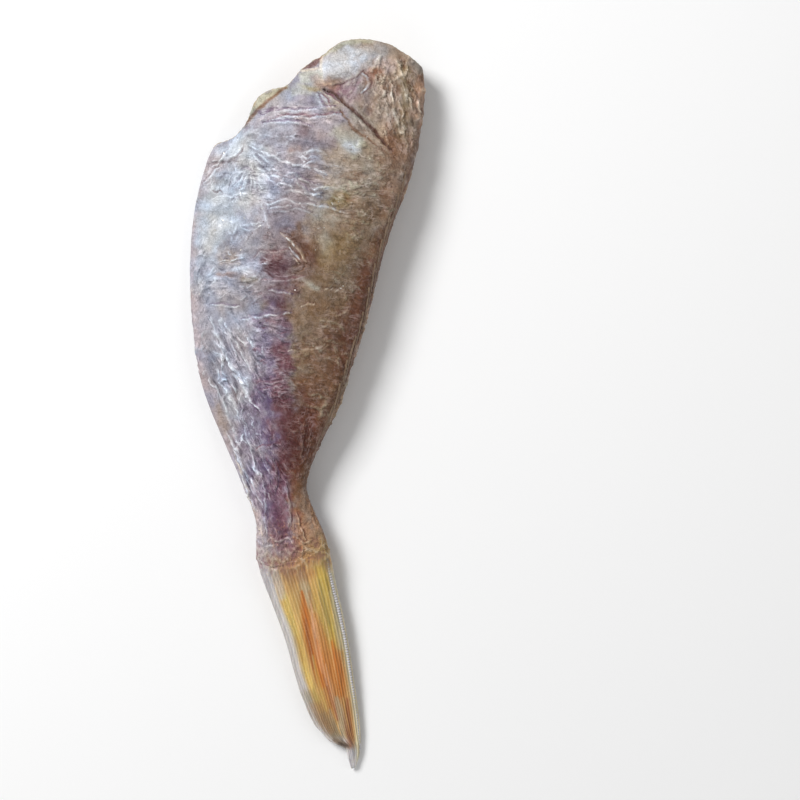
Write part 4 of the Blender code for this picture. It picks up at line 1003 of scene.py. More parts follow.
    # over them
    tip_washes = (
        FinWash(Tone.OLIVE, ((3.4, -73.6, 1.4), (5.6, -77, 1.8), (7.8, -79, 1.4)), 0.7),
        FinWash(Tone.RUST, ((9.6, -69.5, 0.5), (10, -76, 1.3), (10.3, -81, 1)), 0.7),
        FinWash(Tone.OCHRE, ((0.6, -68, 1.6), (3.4, -73.6, 1.8), (6.4, -77.6, 1.8)), 0.42),
        FinWash(Tone.HONEY, ((1.8, -71, 1.4), (3.6, -74.6, 1.6), (5.4, -76.8, 1.4)), 0.3),
        FinWash(Tone.KHAKI, ((6.4, -79.4, 0.6), (9, -80.6, 1.2)), 0.7, both_sides=False),
        # painted shadow in the fork of the tail
        FinWash(Tone.DEEP_SHADOW, ((7.4, -80, 0.3), (9.2, -80.8, 0.7)), 0.5, both_sides=False),
        FinWash(Tone.FIN_WHITE, ((10.5, -82.8, 1.8), (10.8, -87, 1.8)), 0.85, 0.7),
    )

    def edge(self, corners: tuple[Point2, ...], y: np.ndarray) -> np.ndarray:
        """Gives an edge's x at each y."""
        path = smooth_path(np.array(corners))[::-1]
        return np.interp(y, path[:, 1], path[:, 0])

    def shares(self, places: np.ndarray) -> tuple[np.ndarray, np.ndarray]:
        """Turns places into shares of the fin.

        Args:
            places: rows of x, y and z in millimetres.

        Returns:
            The share from the skin's end to the tip, and the share from the lower edge to the upper.
        """
        y = places[:, 1]
        low, high = self.edge(self.lower_edge, y), self.edge(self.upper_edge, y)
        return (self.start - y) / self.length, (places[:, 0] - low) / np.maximum(high - low, 0.4)

    def place(self, along: np.ndarray, across: float | np.ndarray) -> np.ndarray:
        """Gives x and y of places at shares along the fin on one line across it."""
        y = self.start - self.length * along
        low, high = self.edge(self.lower_edge, y), self.edge(self.upper_edge, y)
        return np.column_stack([low + across * (high - low), y])

    def stained(self, places: np.ndarray) -> np.ndarray:
        """Lays the fin's stains, drawn out along its rays.

        Args:
            places: rows of x, y and z in millimetres.

        Returns:
            The sRGB colours.
        """
        along, across = self.shares(places)
        spots = places[:, :2]
        fray = Grain(self.seed).layered(np.column_stack([across * 9.0, along * 1.6, 0.0 * along]), 3, 0.7)
        colour = self.washed(np.tile(Tone.FIN_TAN.rgb, (len(places), 1)), self.washes, spots, fray)
        for corners, inside, width, tone in ((self.lower_edge, 1.0, self.lower_margin, Tone.FIN_WHITE),
                                             (self.upper_edge, -1.0, self.upper_margin, Tone.FIN_BONE)):
            pale = self.margin(spots, corners, inside, width, fray) * ease(0.0, 0.10, along)
            colour = blend_colour(colour, tone, 0.92 * pale)
        colour = self.washed(colour, self.tip_washes, spots, fray)
        return colour * (1.0 + 0.09 * fray)[:, None]

    def washed(
        self, colour: np.ndarray, washes: tuple[FinWash, ...], spots: np.ndarray, fray: np.ndarray
    ) -> np.ndarray:
        """Lays this side's stains over a colour.

        Args:
            colour: the sRGB colours so far.
            washes: the stains, the lowest first.
            spots: places as rows of x and y.
            fray: noise that frays the stains' edges.

        Returns:
            The new colours.
        """
        still = np.zeros((len(spots), 2))
        for wash in washes:
            if self.upper or wash.both_sides:
                colour = blend_colour(colour, wash.tone, wash.weight(spots, 2.2 * fray, still))
        return colour

    @staticmethod
    def margin(spots: np.ndarray, corners: tuple[Point2, ...], inside: float, width: float,
               fray: np.ndarray) -> np.ndarray:
        """Gives 1 on the fin's pale margin and 0 further in.

        Args:
            spots: places as rows of x and y.
            corners: the edge that the margin runs along.
            inside: the side of the edge on which the fin lies, 1 or -1.
            width: the margin's width in millimetres.
            fray: noise that breaks its inner edge.

        Returns:
            The margin's share at each place.
        """
        gap, side = beside_path(spots, unit_path(corners))
        return 1.0 - ease(0.6, 1.15, gap * side * inside / width + 0.14 * fray)

    def sample(self, places: np.ndarray) -> SkinSample:
        """Works out the fin at a set of places.

        Args:
            places: rows of x, y and z in millimetres.

        Returns:
            Height, colour and the masks that the material reads.
        """
        along, across = self.shares(places)
        none = 0.0 * along
        grain = Grain(self.seed)
        push = grain.layered(places / 3.0, 3, 0.6)
        colour = self.stained(places)
        wander = 0.012 * grain.at(np.column_stack([along * 5.0, across * 3.0, none]))
        lines = (across + wander) * self.rays
        number = np.floor(lines + 0.5)
        ridge = np.abs(((lines + 0.5) % 1.0) - 0.5) * 2.0
        crest = 1.0 - ease(0.0, 0.55, ridge)
        groove = ease(0.6, 1.0, ridge)
        bold = 0.55 + 0.45 * grain.at(np.column_stack([number * 3.7, along * 3.0, none + 0.5]))
        turns = along * self.length / self.joint_length + number * 0.37
        joint = 0.5 + 0.5 * np.cos(turns * 2.0 * math.pi)
        fade = (1.0 - ease(0.82, 1.0, along)) * ease(0.0, 0.14, along)
        height = self.ray_rise * (crest - 0.8 * groove) * fade * (0.85 + 0.15 * joint)
        height += 0.05 * push * ease(0.02, 0.10, along)
        # the rays are paler, as their bone is; the grooves between them get painted shade
        colour = blend_colour(colour, Tone.CREAM, crest * np.clip(bold, 0, 1) * 0.42 * fade)
        colour = colour * (1.0 - 0.13 * groove * fade)[:, None]
        colour = colour * (1.0 - 0.07 * joint * crest)[:, None]
        return SkinSample(height, np.clip(colour, 0.0, 1.0), none, np.zeros((len(places), 3)))


# ---- materials ------------------------------------------------------------------------------------

# the kinds of node that the finishes use most
MATH = "ShaderNodeMath"
SPAN = "ShaderNodeMapRange"
MIX = "ShaderNodeMix"
NOISE = "ShaderNodeTexNoise"
BUMP = "ShaderNodeBump"
ATTRIBUTE = "ShaderNodeAttribute"
CELLS = "ShaderNodeTexVoronoi"
PLACE = "ShaderNodeTexCoord"
SURFACE = "ShaderNodeBsdfPrincipled"
TINT = {"data_type": "RGBA", "blend_type": "MULTIPLY"}  # settings of a mix that darkens by a colour


def add_node(tree: bpy.types.NodeTree, kind: str, settings: dict[str | int, object] | None = None,
             links: dict[str | int, Source] | None = None) -> Node:
    """Adds a node with its settings and what feeds it.

    Args:
        tree: the tree that gets the node.
        kind: the node's type name.
        settings: values by property name, or by input name where the node has such an input.
        links: what feeds the node, by input name or number; a node stands for its first output.

    Returns:
        The node.
    """
    node = tree.nodes.new(kind)
    for name, value in (settings or {}).items():
        if isinstance(name, str) and hasattr(node, name):
            setattr(node, name, value)
        else:
            node.inputs[name].default_value = value
    for name, source in (links or {}).items():
        tree.links.new(source.outputs[0] if isinstance(source, Node) else source, node.inputs[name])
    return node


def new_material(name: str) -> tuple[bpy.types.Material, bpy.types.NodeTree]:
    """Makes an empty node material.

    Args:
        name: the material's common name.

    Returns:
        The material and its node tree.
    """
    material = bpy.data.materials.new(name)
    material.use_nodes = True
    material.node_tree.nodes.clear()
    return material, material.node_tree


def finish_material(tree: bpy.types.NodeTree, shader: Node) -> None:
    """Feeds the shader to the material's output."""
    add_node(tree, "ShaderNodeOutputMaterial", links={"Surface": shader})


@dataclass(frozen=True)
class DriedFishSkin:
    """Sun-dried fish skin: shrunken collagen with silvery guanine under a greasy film.

    To the eye it is pearly and wrinkled on the belly, and leathery, amber and dull on the back.
    """

    fine_pitch: float = 0.95  # of the finest wrinkles
    fine_length: float = 3.8  # how much longer than wide they are
    pore_size: float = 0.26
    cloud_size: float = 0.9
    cell_size: float = 1.1  # of the leathery net of hair-fine cracks
    speck_spacing: float = 0.62
    pit_size: float = 0.22
    pit_spacing: float = 2.6
    crest_highlight: float = 0.95  # how strongly the crests' painted highlight shows
    highlight_gain: float = 1.3  # a crest's painted highlight is the stain's colour times this, and lighter by the lift
    highlight_lift: Point3 = (0.235, 0.215, 0.225)
    # how strongly the painted shade in the hollows shows
    hollow_shade: float = 0.76
    belly_roughness: float = 0.54
    back_roughness: float = 0.58
    pearl: float = 0.08  # metallic share where the silver is whole

    def material(self) -> bpy.types.Material:
        """Builds the skin's material.

        Returns:
            The material, which reads the attributes paint, silver and fine.
        """
        material, tree = new_material("sun_dried_fish_skin")
        paint = add_node(tree, ATTRIBUTE, {"attribute_name": "paint"})
        silver = add_node(tree, ATTRIBUTE, {"attribute_name": "silver"})
        place = add_node(tree, PLACE).outputs["Object"]
        crest, hollow = self.fine_wrinkles(tree, place)
        pores = add_node(
            tree, NOISE, {"Scale": 1.0 / (self.pore_size * MM), "Detail": 4.0, "Roughness": 0.7},
            {"Vector": place},
        )
        shade = add_node(tree, SPAN, {"From Min": 0.25, "From Max": 0.75, "To Min": 0.56, "To Max": 1.44},
                         {"Value": pores})
        clouds = add_node(tree, NOISE, {"Scale": 1.0 / (self.cloud_size * MM), "Detail": 3.0},
                          {"Vector": place})
        cloudy = add_node(tree, SPAN, {"From Min": 0.3, "From Max": 0.7, "To Min": 0.94, "To Max": 1.06},
                          {"Value": clouds})
        both = add_node(tree, MATH, {"operation": "MULTIPLY"}, {0: shade, 1: cloudy})
        plain = add_node(tree, MIX, {**TINT, 0: 1.0}, {6: paint.outputs["Color"], 7: both})
        cracks = self.cracks(tree, place, silver.outputs["Fac"])
        stained = add_node(tree, MIX, {**TINT, 7: Tone.KHAKI.linear}, {0: cracks, 6: plain.outputs[2]})
        # painted shade in the hollows of the finest wrinkles, then a painted highlight on their crests
        shade_share = add_node(tree, MATH, {"operation": "MULTIPLY", 1: self.hollow_shade}, {0: hollow})
        shaded = add_node(tree, MIX, {**TINT, 7: Tone.SHADE_SLATE.linear}, {0: shade_share, 6: stained.outputs[2]})
        lit = add_node(tree, MATH, {"operation": "MULTIPLY", 1: self.crest_highlight}, {0: crest})
        bright = add_node(
            tree, "ShaderNodeVectorMath",
            {"operation": "MULTIPLY_ADD", 1: (self.highlight_gain,) * 3, 2: self.highlight_lift},
            {0: paint.outputs["Color"]},
        )
        pale = add_node(tree, MIX, {"data_type": "RGBA", "clamp_result": True},
                        {0: lit, 6: shaded.outputs[2], 7: bright})
        # painted shade in the pits
        pitted = add_node(tree, MIX, {"data_type": "RGBA", 7: Tone.SHADE_BROWN.linear},
                          {0: self.pits(tree, place), 6: pale.outputs[2]})
        roughness = add_node(tree, SPAN, {"To Min": self.back_roughness, "To Max": self.belly_roughness},
                             {"Value": silver.outputs["Fac"]})
        uneven = add_node(tree, MATH, {"operation": "MULTIPLY_ADD", 1: -0.18},
                          {0: self.specks(tree, place), 2: roughness})
        pearl = add_node(tree, MATH, {"operation": "MULTIPLY", 1: self.pearl}, {0: silver.outputs["Fac"]})
        grainy = add_node(tree, BUMP, {"Strength": 0.5, "Distance": 0.06 * MM}, {"Height": pores})
        level = add_node(tree, MATH, {"operation": "SUBTRACT"}, {0: crest, 1: hollow})
        raised = add_node(tree, MATH, {"operation": "SUBTRACT"}, {0: level, 1: cracks})
        folds = add_node(tree, BUMP, {"Strength": 0.9, "Distance": 0.10 * MM},
                         {"Height": raised, "Normal": grainy})
        shader = add_node(
            tree, SURFACE,
            {"IOR": 1.46, "Coat Weight": 0.06, "Coat Roughness": 0.30, "Specular IOR Level": 0.20},
            {"Base Color": pitted.outputs[2], "Roughness": uneven, "Metallic": pearl, "Normal": folds},
        )
        finish_material(tree, shader)
        return material

    def fine_wrinkles(self, tree: bpy.types.NodeTree, place: Source) -> tuple[Node, Node]:
        """Draws the finest wrinkles, which run three ways and come and go.

        Args:
            tree: the material's node tree.
            place: the socket with the place on the object.

        Returns:
            The nodes that give the crests and the hollows beside them, 0 to 1, for the painted highlight and
            shade and for the bump.
        """
        shares = add_node(tree, ATTRIBUTE, {"attribute_name": "fine"})
        parted = add_node(tree, "ShaderNodeSeparateXYZ", links={0: shares.outputs["Vector"]})
        crest = hollow = None
        for at, run in enumerate(FINE_RUNS):
            turned = add_node(
                tree, "ShaderNodeMapping",
                {"vector_type": "TEXTURE", "Rotation": (0.0, 0.0, math.radians(run)),
                 "Scale": (self.fine_pitch * self.fine_length * MM, self.fine_pitch * MM, 1.6 * MM)},
                {"Vector": place},
            )
            noise = add_node(
                tree, NOISE, {"Scale": 0.72, "Detail": 2.6, "Roughness": 0.62, "Distortion": 0.6},
                {"Vector": turned},
            )
            folded = add_node(tree, MATH, {"operation": "SUBTRACT", 1: 0.5}, {0: noise})
            apart = add_node(tree, MATH, {"operation": "ABSOLUTE"}, {0: folded})
            sharp = add_node(
                tree, SPAN, {"From Min": 0.006, "From Max": 0.055, "To Min": 1.0, "To Max": 0.0},
                {"Value": apart},
            )
            deep = add_node(tree, SPAN, {"From Min": 0.07, "From Max": 0.20}, {"Value": apart})
            one = add_node(tree, MATH, {"operation": "MULTIPLY"}, {0: sharp, 1: parted.outputs[at]})
            two = add_node(tree, MATH, {"operation": "MULTIPLY"}, {0: deep, 1: parted.outputs[at]})
            if crest is None:
                crest, hollow = one, two
            else:
                crest = add_node(tree, MATH, {"operation": "MAXIMUM"}, {0: crest, 1: one})
                hollow = add_node(tree, MATH, {"operation": "MAXIMUM"}, {0: hollow, 1: two})
        patchy = add_node(tree, NOISE, {"Scale": 1.0 / (1.5 * MM), "Detail": 2.0}, {"Vector": place})
        gate = add_node(tree, SPAN, {"From Min": 0.42, "From Max": 0.62, "To Min": 0.15, "To Max": 1.0},
                        {"Value": patchy})
        crest = add_node(tree, MATH, {"operation": "MULTIPLY"}, {0: crest, 1: gate})
        return crest, hollow

    def cracks(self, tree: bpy.types.NodeTree, place: Source, silver: Source) -> Node:
        """Draws the leathery net of fine cracks, which fades where the silver is whole.

        Args:
            tree: the material's node tree.
            place: the socket with the place on the object.
            silver: the socket that tells how whole the silver is.

        Returns:
            The node that gives the cracks, 0 to 0.4.
        """
        net = add_node(tree, CELLS, {"feature": "DISTANCE_TO_EDGE", "Scale": 1.0 / (self.cell_size * MM)},
                       {"Vector": place})
        thin = add_node(tree, SPAN, {"From Min": 0.02, "From Max": 0.12, "To Min": 1.0, "To Max": 0.0},
                        {"Value": net.outputs["Distance"]})
        broken = add_node(tree, NOISE, {"Scale": 1.0 / (1.8 * MM), "Detail": 2.0}, {"Vector": place})
        kept = add_node(tree, SPAN, {"From Min": 0.40, "From Max": 0.62, "To Max": 0.4}, {"Value": broken})
        share = add_node(tree, SPAN, {"To Min": 1.0, "To Max": 0.35}, {"Value": silver})
        some = add_node(tree, MATH, {"operation": "MULTIPLY"}, {0: kept, 1: share})
        return add_node(tree, MATH, {"operation": "MULTIPLY"}, {0: thin, 1: some})

    def specks(self, tree: bpy.types.NodeTree, place: Source) -> Node:
        """Picks out the small greasy specks, 1 on a speck and 0 between them."""
        cells = add_node(tree, CELLS, {"Scale": 1.0 / (self.speck_spacing * MM)}, {"Vector": place})
        parted = add_node(tree, "ShaderNodeSeparateColor", links={"Color": cells.outputs["Color"]})
        return add_node(tree, SPAN, {"From Min": 0.72, "From Max": 0.95}, {"Value": parted})

    def pits(self, tree: bpy.types.NodeTree, place: Source) -> Node:
        """Picks out a few of the skin's pits, which get painted shade, 1 in a pit and 0 between them."""
        cells = add_node(tree, CELLS, {"Scale": 1.0 / (self.pit_spacing * MM)}, {"Vector": place})
        parted = add_node(tree, "ShaderNodeSeparateColor", links={"Color": cells.outputs["Color"]})
        size = self.pit_size / self.pit_spacing
        inside = add_node(tree, SPAN, {"From Min": size, "From Max": 0.4 * size},
                          {"Value": cells.outputs["Distance"]})
        some = add_node(tree, SPAN, {"From Min": 0.55, "From Max": 0.75, "To Max": 0.8},
                        {"Value": parted.outputs[1]})
        return add_node(tree, MATH, {"operation": "MULTIPLY"}, {0: inside, 1: some})


@dataclass(frozen=True)
class Streaks:
    """Streaks that run one way over a finish, in its colour and in its relief."""

    size: Point3  # millimetres across, along and through
    turn: float  # degrees
    detail: float
    roughness: float
    shades: Point2  # of the darkest and the lightest streak
    strength: float
    depth: float

    def lay(self, tree: bpy.types.NodeTree) -> tuple[Source, Node]:
        """Lays the streaks over the attribute paint.

        Args:
            tree: the material's node tree.

        Returns:
            What gives the streaked colour, and the node that gives the relief.
        """
        paint = add_node(tree, ATTRIBUTE, {"attribute_name": "paint"})
        place = add_node(tree, PLACE)
        turned = add_node(
            tree, "ShaderNodeMapping",
            {"Rotation": (0.0, 0.0, math.radians(self.turn)),
             "Scale": tuple(1.0 / (size * MM) for size in self.size)},
            {"Vector": place.outputs["Object"]},
        )
        noise = add_node(tree, NOISE, {"Scale": 1.0, "Detail": self.detail, "Roughness": self.roughness},
                         {"Vector": turned})
        shade = add_node(
            tree, SPAN,
            {"From Min": 0.3, "From Max": 0.7, "To Min": self.shades[0], "To Max": self.shades[1]},
            {"Value": noise},
        )
        stained = add_node(tree, MIX, {**TINT, 0: 1.0}, {6: paint, 7: shade})
        relief = add_node(tree, BUMP, {"Strength": self.strength, "Distance": self.depth * MM},
                          {"Height": noise})
        return stained.outputs[2], relief


@dataclass(frozen=True)
class DriedFinMembrane:
    """Dried fin membrane: thin clear skin stretched between rays, amber where it is stained.

    To the eye it is smooth, a little glassy and streaked along the rays.
    """

    streaks: Streaks = Streaks((0.35, 9.0, 2.0), -12.0, 4.0, 0.65, (0.78, 1.2), 0.6, 0.06)

    def material(self) -> bpy.types.Material:
        """Builds the membrane's material, which reads the attribute paint."""
        material, tree = new_material("dried_fin_membrane")
        stained, ribbed = self.streaks.lay(tree)
        shader = add_node(
            tree, SURFACE,
            {"IOR": 1.5, "Roughness": 0.42, "Coat Weight": 0.15, "Coat Roughness": 0.25,
             "Subsurface Weight": 0.12, "Subsurface Radius": (1.0, 0.55, 0.25),
             "Subsurface Scale": 0.8 * MM},
            {"Base Color": stained, "Normal": ribbed},
        )
        finish_material(tree, shader)
        return material


@dataclass(frozen=True)
class DriedFlesh:
    """Dried fish flesh and belly wall: hard amber muscle, torn along its fibres.

    To the eye it is dark, waxy and streaked, with paler dry edges.
    """

    fibres: Streaks = Streaks((0.4, 3.0, 0.4), -22.0, 5.0, 0.7, (0.6, 1.35), 0.8, 0.15)

    def material(self) -> bpy.types.Material:
        """Builds the flesh's material, which reads the attribute paint."""
        material, tree = new_material("dried_fish_flesh")
        stained, torn = self.fibres.lay(tree)
        shader = add_node(
            tree, SURFACE,
            {"IOR": 1.48, "Roughness": 0.5, "Subsurface Weight": 0.15,
             "Subsurface Radius": (1.0, 0.4, 0.2), "Subsurface Scale": 1.0 * MM},
            {"Base Color": stained, "Normal": torn},
        )
        finish_material(tree, shader)
        return material


@dataclass(frozen=True)
class DriedFinRay:
    """Dried fin ray: a thin rod of clear bone in short joints, or a hard spine.

    To the eye it is smooth, pale and a little glassy, and darker where a joint narrows.
    """

    name: str
    cloud: float  # size of the stains along the ray
    joint_shade: float  # how much darker it is where a joint narrows

    def material(self) -> bpy.types.Material:
        """Builds the ray's material.

        Returns:
            The material, which reads the attributes paint and joint.
        """
        material, tree = new_material(self.name)
        place = add_node(tree, PLACE)
        paint = add_node(tree, ATTRIBUTE, {"attribute_name": "paint"})
        joint = add_node(tree, ATTRIBUTE, {"attribute_name": "joint"})
        noise = add_node(tree, NOISE, {"Scale": 1.0 / (self.cloud * MM), "Detail": 4.0},
                         {"Vector": place.outputs["Object"]})
        cloudy = add_node(tree, SPAN, {"From Min": 0.3, "From Max": 0.7, "To Min": 0.82, "To Max": 1.16},
                          {"Value": noise})
        narrow = add_node(tree, MATH, {"operation": "MULTIPLY_ADD", 1: -self.joint_shade},
                          {0: joint.outputs["Fac"], 2: cloudy})
        colour = add_node(tree, MIX, {**TINT, 0: 1.0}, {6: paint.outputs["Color"], 7: narrow})
        rough = add_node(tree, SPAN, {"To Min": 0.5, "To Max": 0.34}, {"Value": noise})
        bump = add_node(tree, BUMP, {"Strength": 0.4, "Distance": 0.04 * MM}, {"Height": noise})
        shader = add_node(
            tree, SURFACE,
            {"IOR": 1.54, "Specular IOR Level": 0.4, "Subsurface Weight": 0.1,
             "Subsurface Radius": (1.0, 0.7, 0.4), "Subsurface Scale": 0.4 * MM},
            {"Base Color": colour.outputs[2], "Roughness": rough, "Normal": bump},
        )
        finish_material(tree, shader)
        return material


@dataclass(frozen=True)
class SilverFlake:
    """A loose sliver of scale: clear and pearly, and bright where it faces a light."""

    def material(self) -> bpy.types.Material:
        """Builds the flake's material.

        Returns:
            The material.
        """
        material, tree = new_material("pearly_scale_sliver")
        place = add_node(tree, PLACE)
        noise = add_node(tree, NOISE, {"Scale": 1.0 / (3.0 * MM), "Detail": 2.0},
                         {"Vector": place.outputs["Object"]})
        colour = add_node(tree, MIX, {"data_type": "RGBA", 6: Tone.SILVER.linear, 7: Tone.CREAM.linear},
                          {0: noise})
        shader = add_node(tree, SURFACE, {"Roughness": 0.26, "IOR": 1.55, "Metallic": 0.2},
                          {"Base Color": colour.outputs[2]})
        finish_material(tree, shader)
        return material


@dataclass(frozen=True)
class PaleFloor:
    """Matt white studio board: even, with the faintest paper grain."""

    def material(self) -> bpy.types.Material:
        """Builds the floor's material.

        Returns:
            The material.
        """
        material, tree = new_material("matt_studio_board")
        place = add_node(tree, PLACE)
        noise = add_node(tree, NOISE, {"Scale": 900.0, "Detail": 3.0}, {"Vector": place.outputs["Object"]})
        bump = add_node(tree, BUMP, {"Strength": 0.05, "Distance": 0.05 * MM}, {"Height": noise})
        shader = add_node(
            tree, SURFACE, {"Base Color": Tone.FLOOR.linear, "Roughness": 0.9, "Specular IOR Level": 0.1},
            {"Normal": bump},
        )
        finish_material(tree, shader)
        return material


# ---- objects and node trees ---------------------------------------------------------------------


def new_object(name: str, data: bpy.types.ID) -> bpy.types.Object:
    """Makes an object at the origin and adds it to the scene."""
    made = bpy.data.objects.new(name, data)
    bpy.context.scene.collection.objects.link(made)
    return made


def finished_mesh(source: bpy.types.Object, name: str) -> bpy.types.Object:
    """Turns an object with live modifiers, which is removed, into a plain mesh object."""
    view = bpy.context.evaluated_depsgraph_get()
    view.update()
    mesh = bpy.data.meshes.new_from_object(
        source.evaluated_get(view), preserve_all_data_layers=True, depsgraph=view
    )
    bpy.data.objects.remove(source)
    mesh.name = name
    return new_object(name, mesh)


def keep_values(mesh: bpy.types.Mesh, name: str, values: np.ndarray) -> None:
    """Keeps values on the mesh's corners as an attribute."""
    width = 1 if values.ndim == 1 else values.shape[1]
    kind, key = {1: ("FLOAT", "value"), 3: ("FLOAT_VECTOR", "vector"), 4: ("FLOAT_COLOR", "color")}[width]
    attribute = mesh.attributes.new(name, kind, "POINT")
    attribute.data.foreach_set(key, values.astype(np.float32).ravel())


def keep_paint(mesh: bpy.types.Mesh, colour: np.ndarray) -> None:
    """Keeps sRGB colours on the mesh's corners as the attribute paint."""
    keep_values(mesh, "paint", np.column_stack([to_linear(colour), np.ones(len(colour))]))


def new_tree(name: str, inputs: dict[str, str]) -> tuple[bpy.types.NodeTree, bpy.types.NodeOutputs]:
    """Makes a geometry node tree with named inputs.

    Args:
        name: the tree's name.
        inputs: the kind of each input that it has beside its geometry, by the input's name.

    Returns:
        The tree and the sockets that give its inputs.
    """
    tree = bpy.data.node_groups.new(name, "GeometryNodeTree")
    for title, kind in {"Geometry": "Geometry", **inputs}.items():
        tree.interface.new_socket(title, in_out="INPUT", socket_type=f"NodeSocket{kind}")
    tree.interface.new_socket("Geometry", in_out="OUTPUT", socket_type="NodeSocketGeometry")
    return tree, add_node(tree, "NodeGroupInput").outputs


def finish_tree(tree: bpy.types.NodeTree, made: Node, material: Source) -> None:
    """Makes what the tree built real and gives it its material."""
    real = add_node(tree, "GeometryNodeRealizeInstances", links={0: made})
    dressed = add_node(tree, "GeometryNodeSetMaterial", links={"Geometry": real, "Material": material})
    add_node(tree, "NodeGroupOutput", links={0: dressed})


def grown(source: bpy.types.Object, tree: bpy.types.NodeTree, sizes: dict[str, object],
          name: str) -> bpy.types.Object:
    """Runs a geometry node tree on an object, which is removed.

    Args:
        source: the object that the tree starts from.
        tree: the node tree.
        sizes: the tree's inputs by name.
        name: the new piece's name.

    Returns:
        The piece as a plain mesh object.
    """
    modifier = source.modifiers.new(tree.name, "NODES")
    modifier.node_group = tree
    for item in tree.interface.items_tree:
        if item.in_out == "INPUT" and item.name in sizes:
            modifier[item.identifier] = sizes[item.name]
    return finished_mesh(source, name)


# ---- the fish -------------------------------------------------------------------------------------


class Region(Enum):
    """What a face of the fish belongs to, kept as its material number while the mesh is made."""

    WRINKLED = 0
    SMOOTH = 1
    FLESH = 2
    FIN = 3


def triangles(mesh: bpy.types.Mesh) -> int:
    """Counts a mesh's triangles."""
    return sum(len(face.vertices) - 2 for face in mesh.polygons)


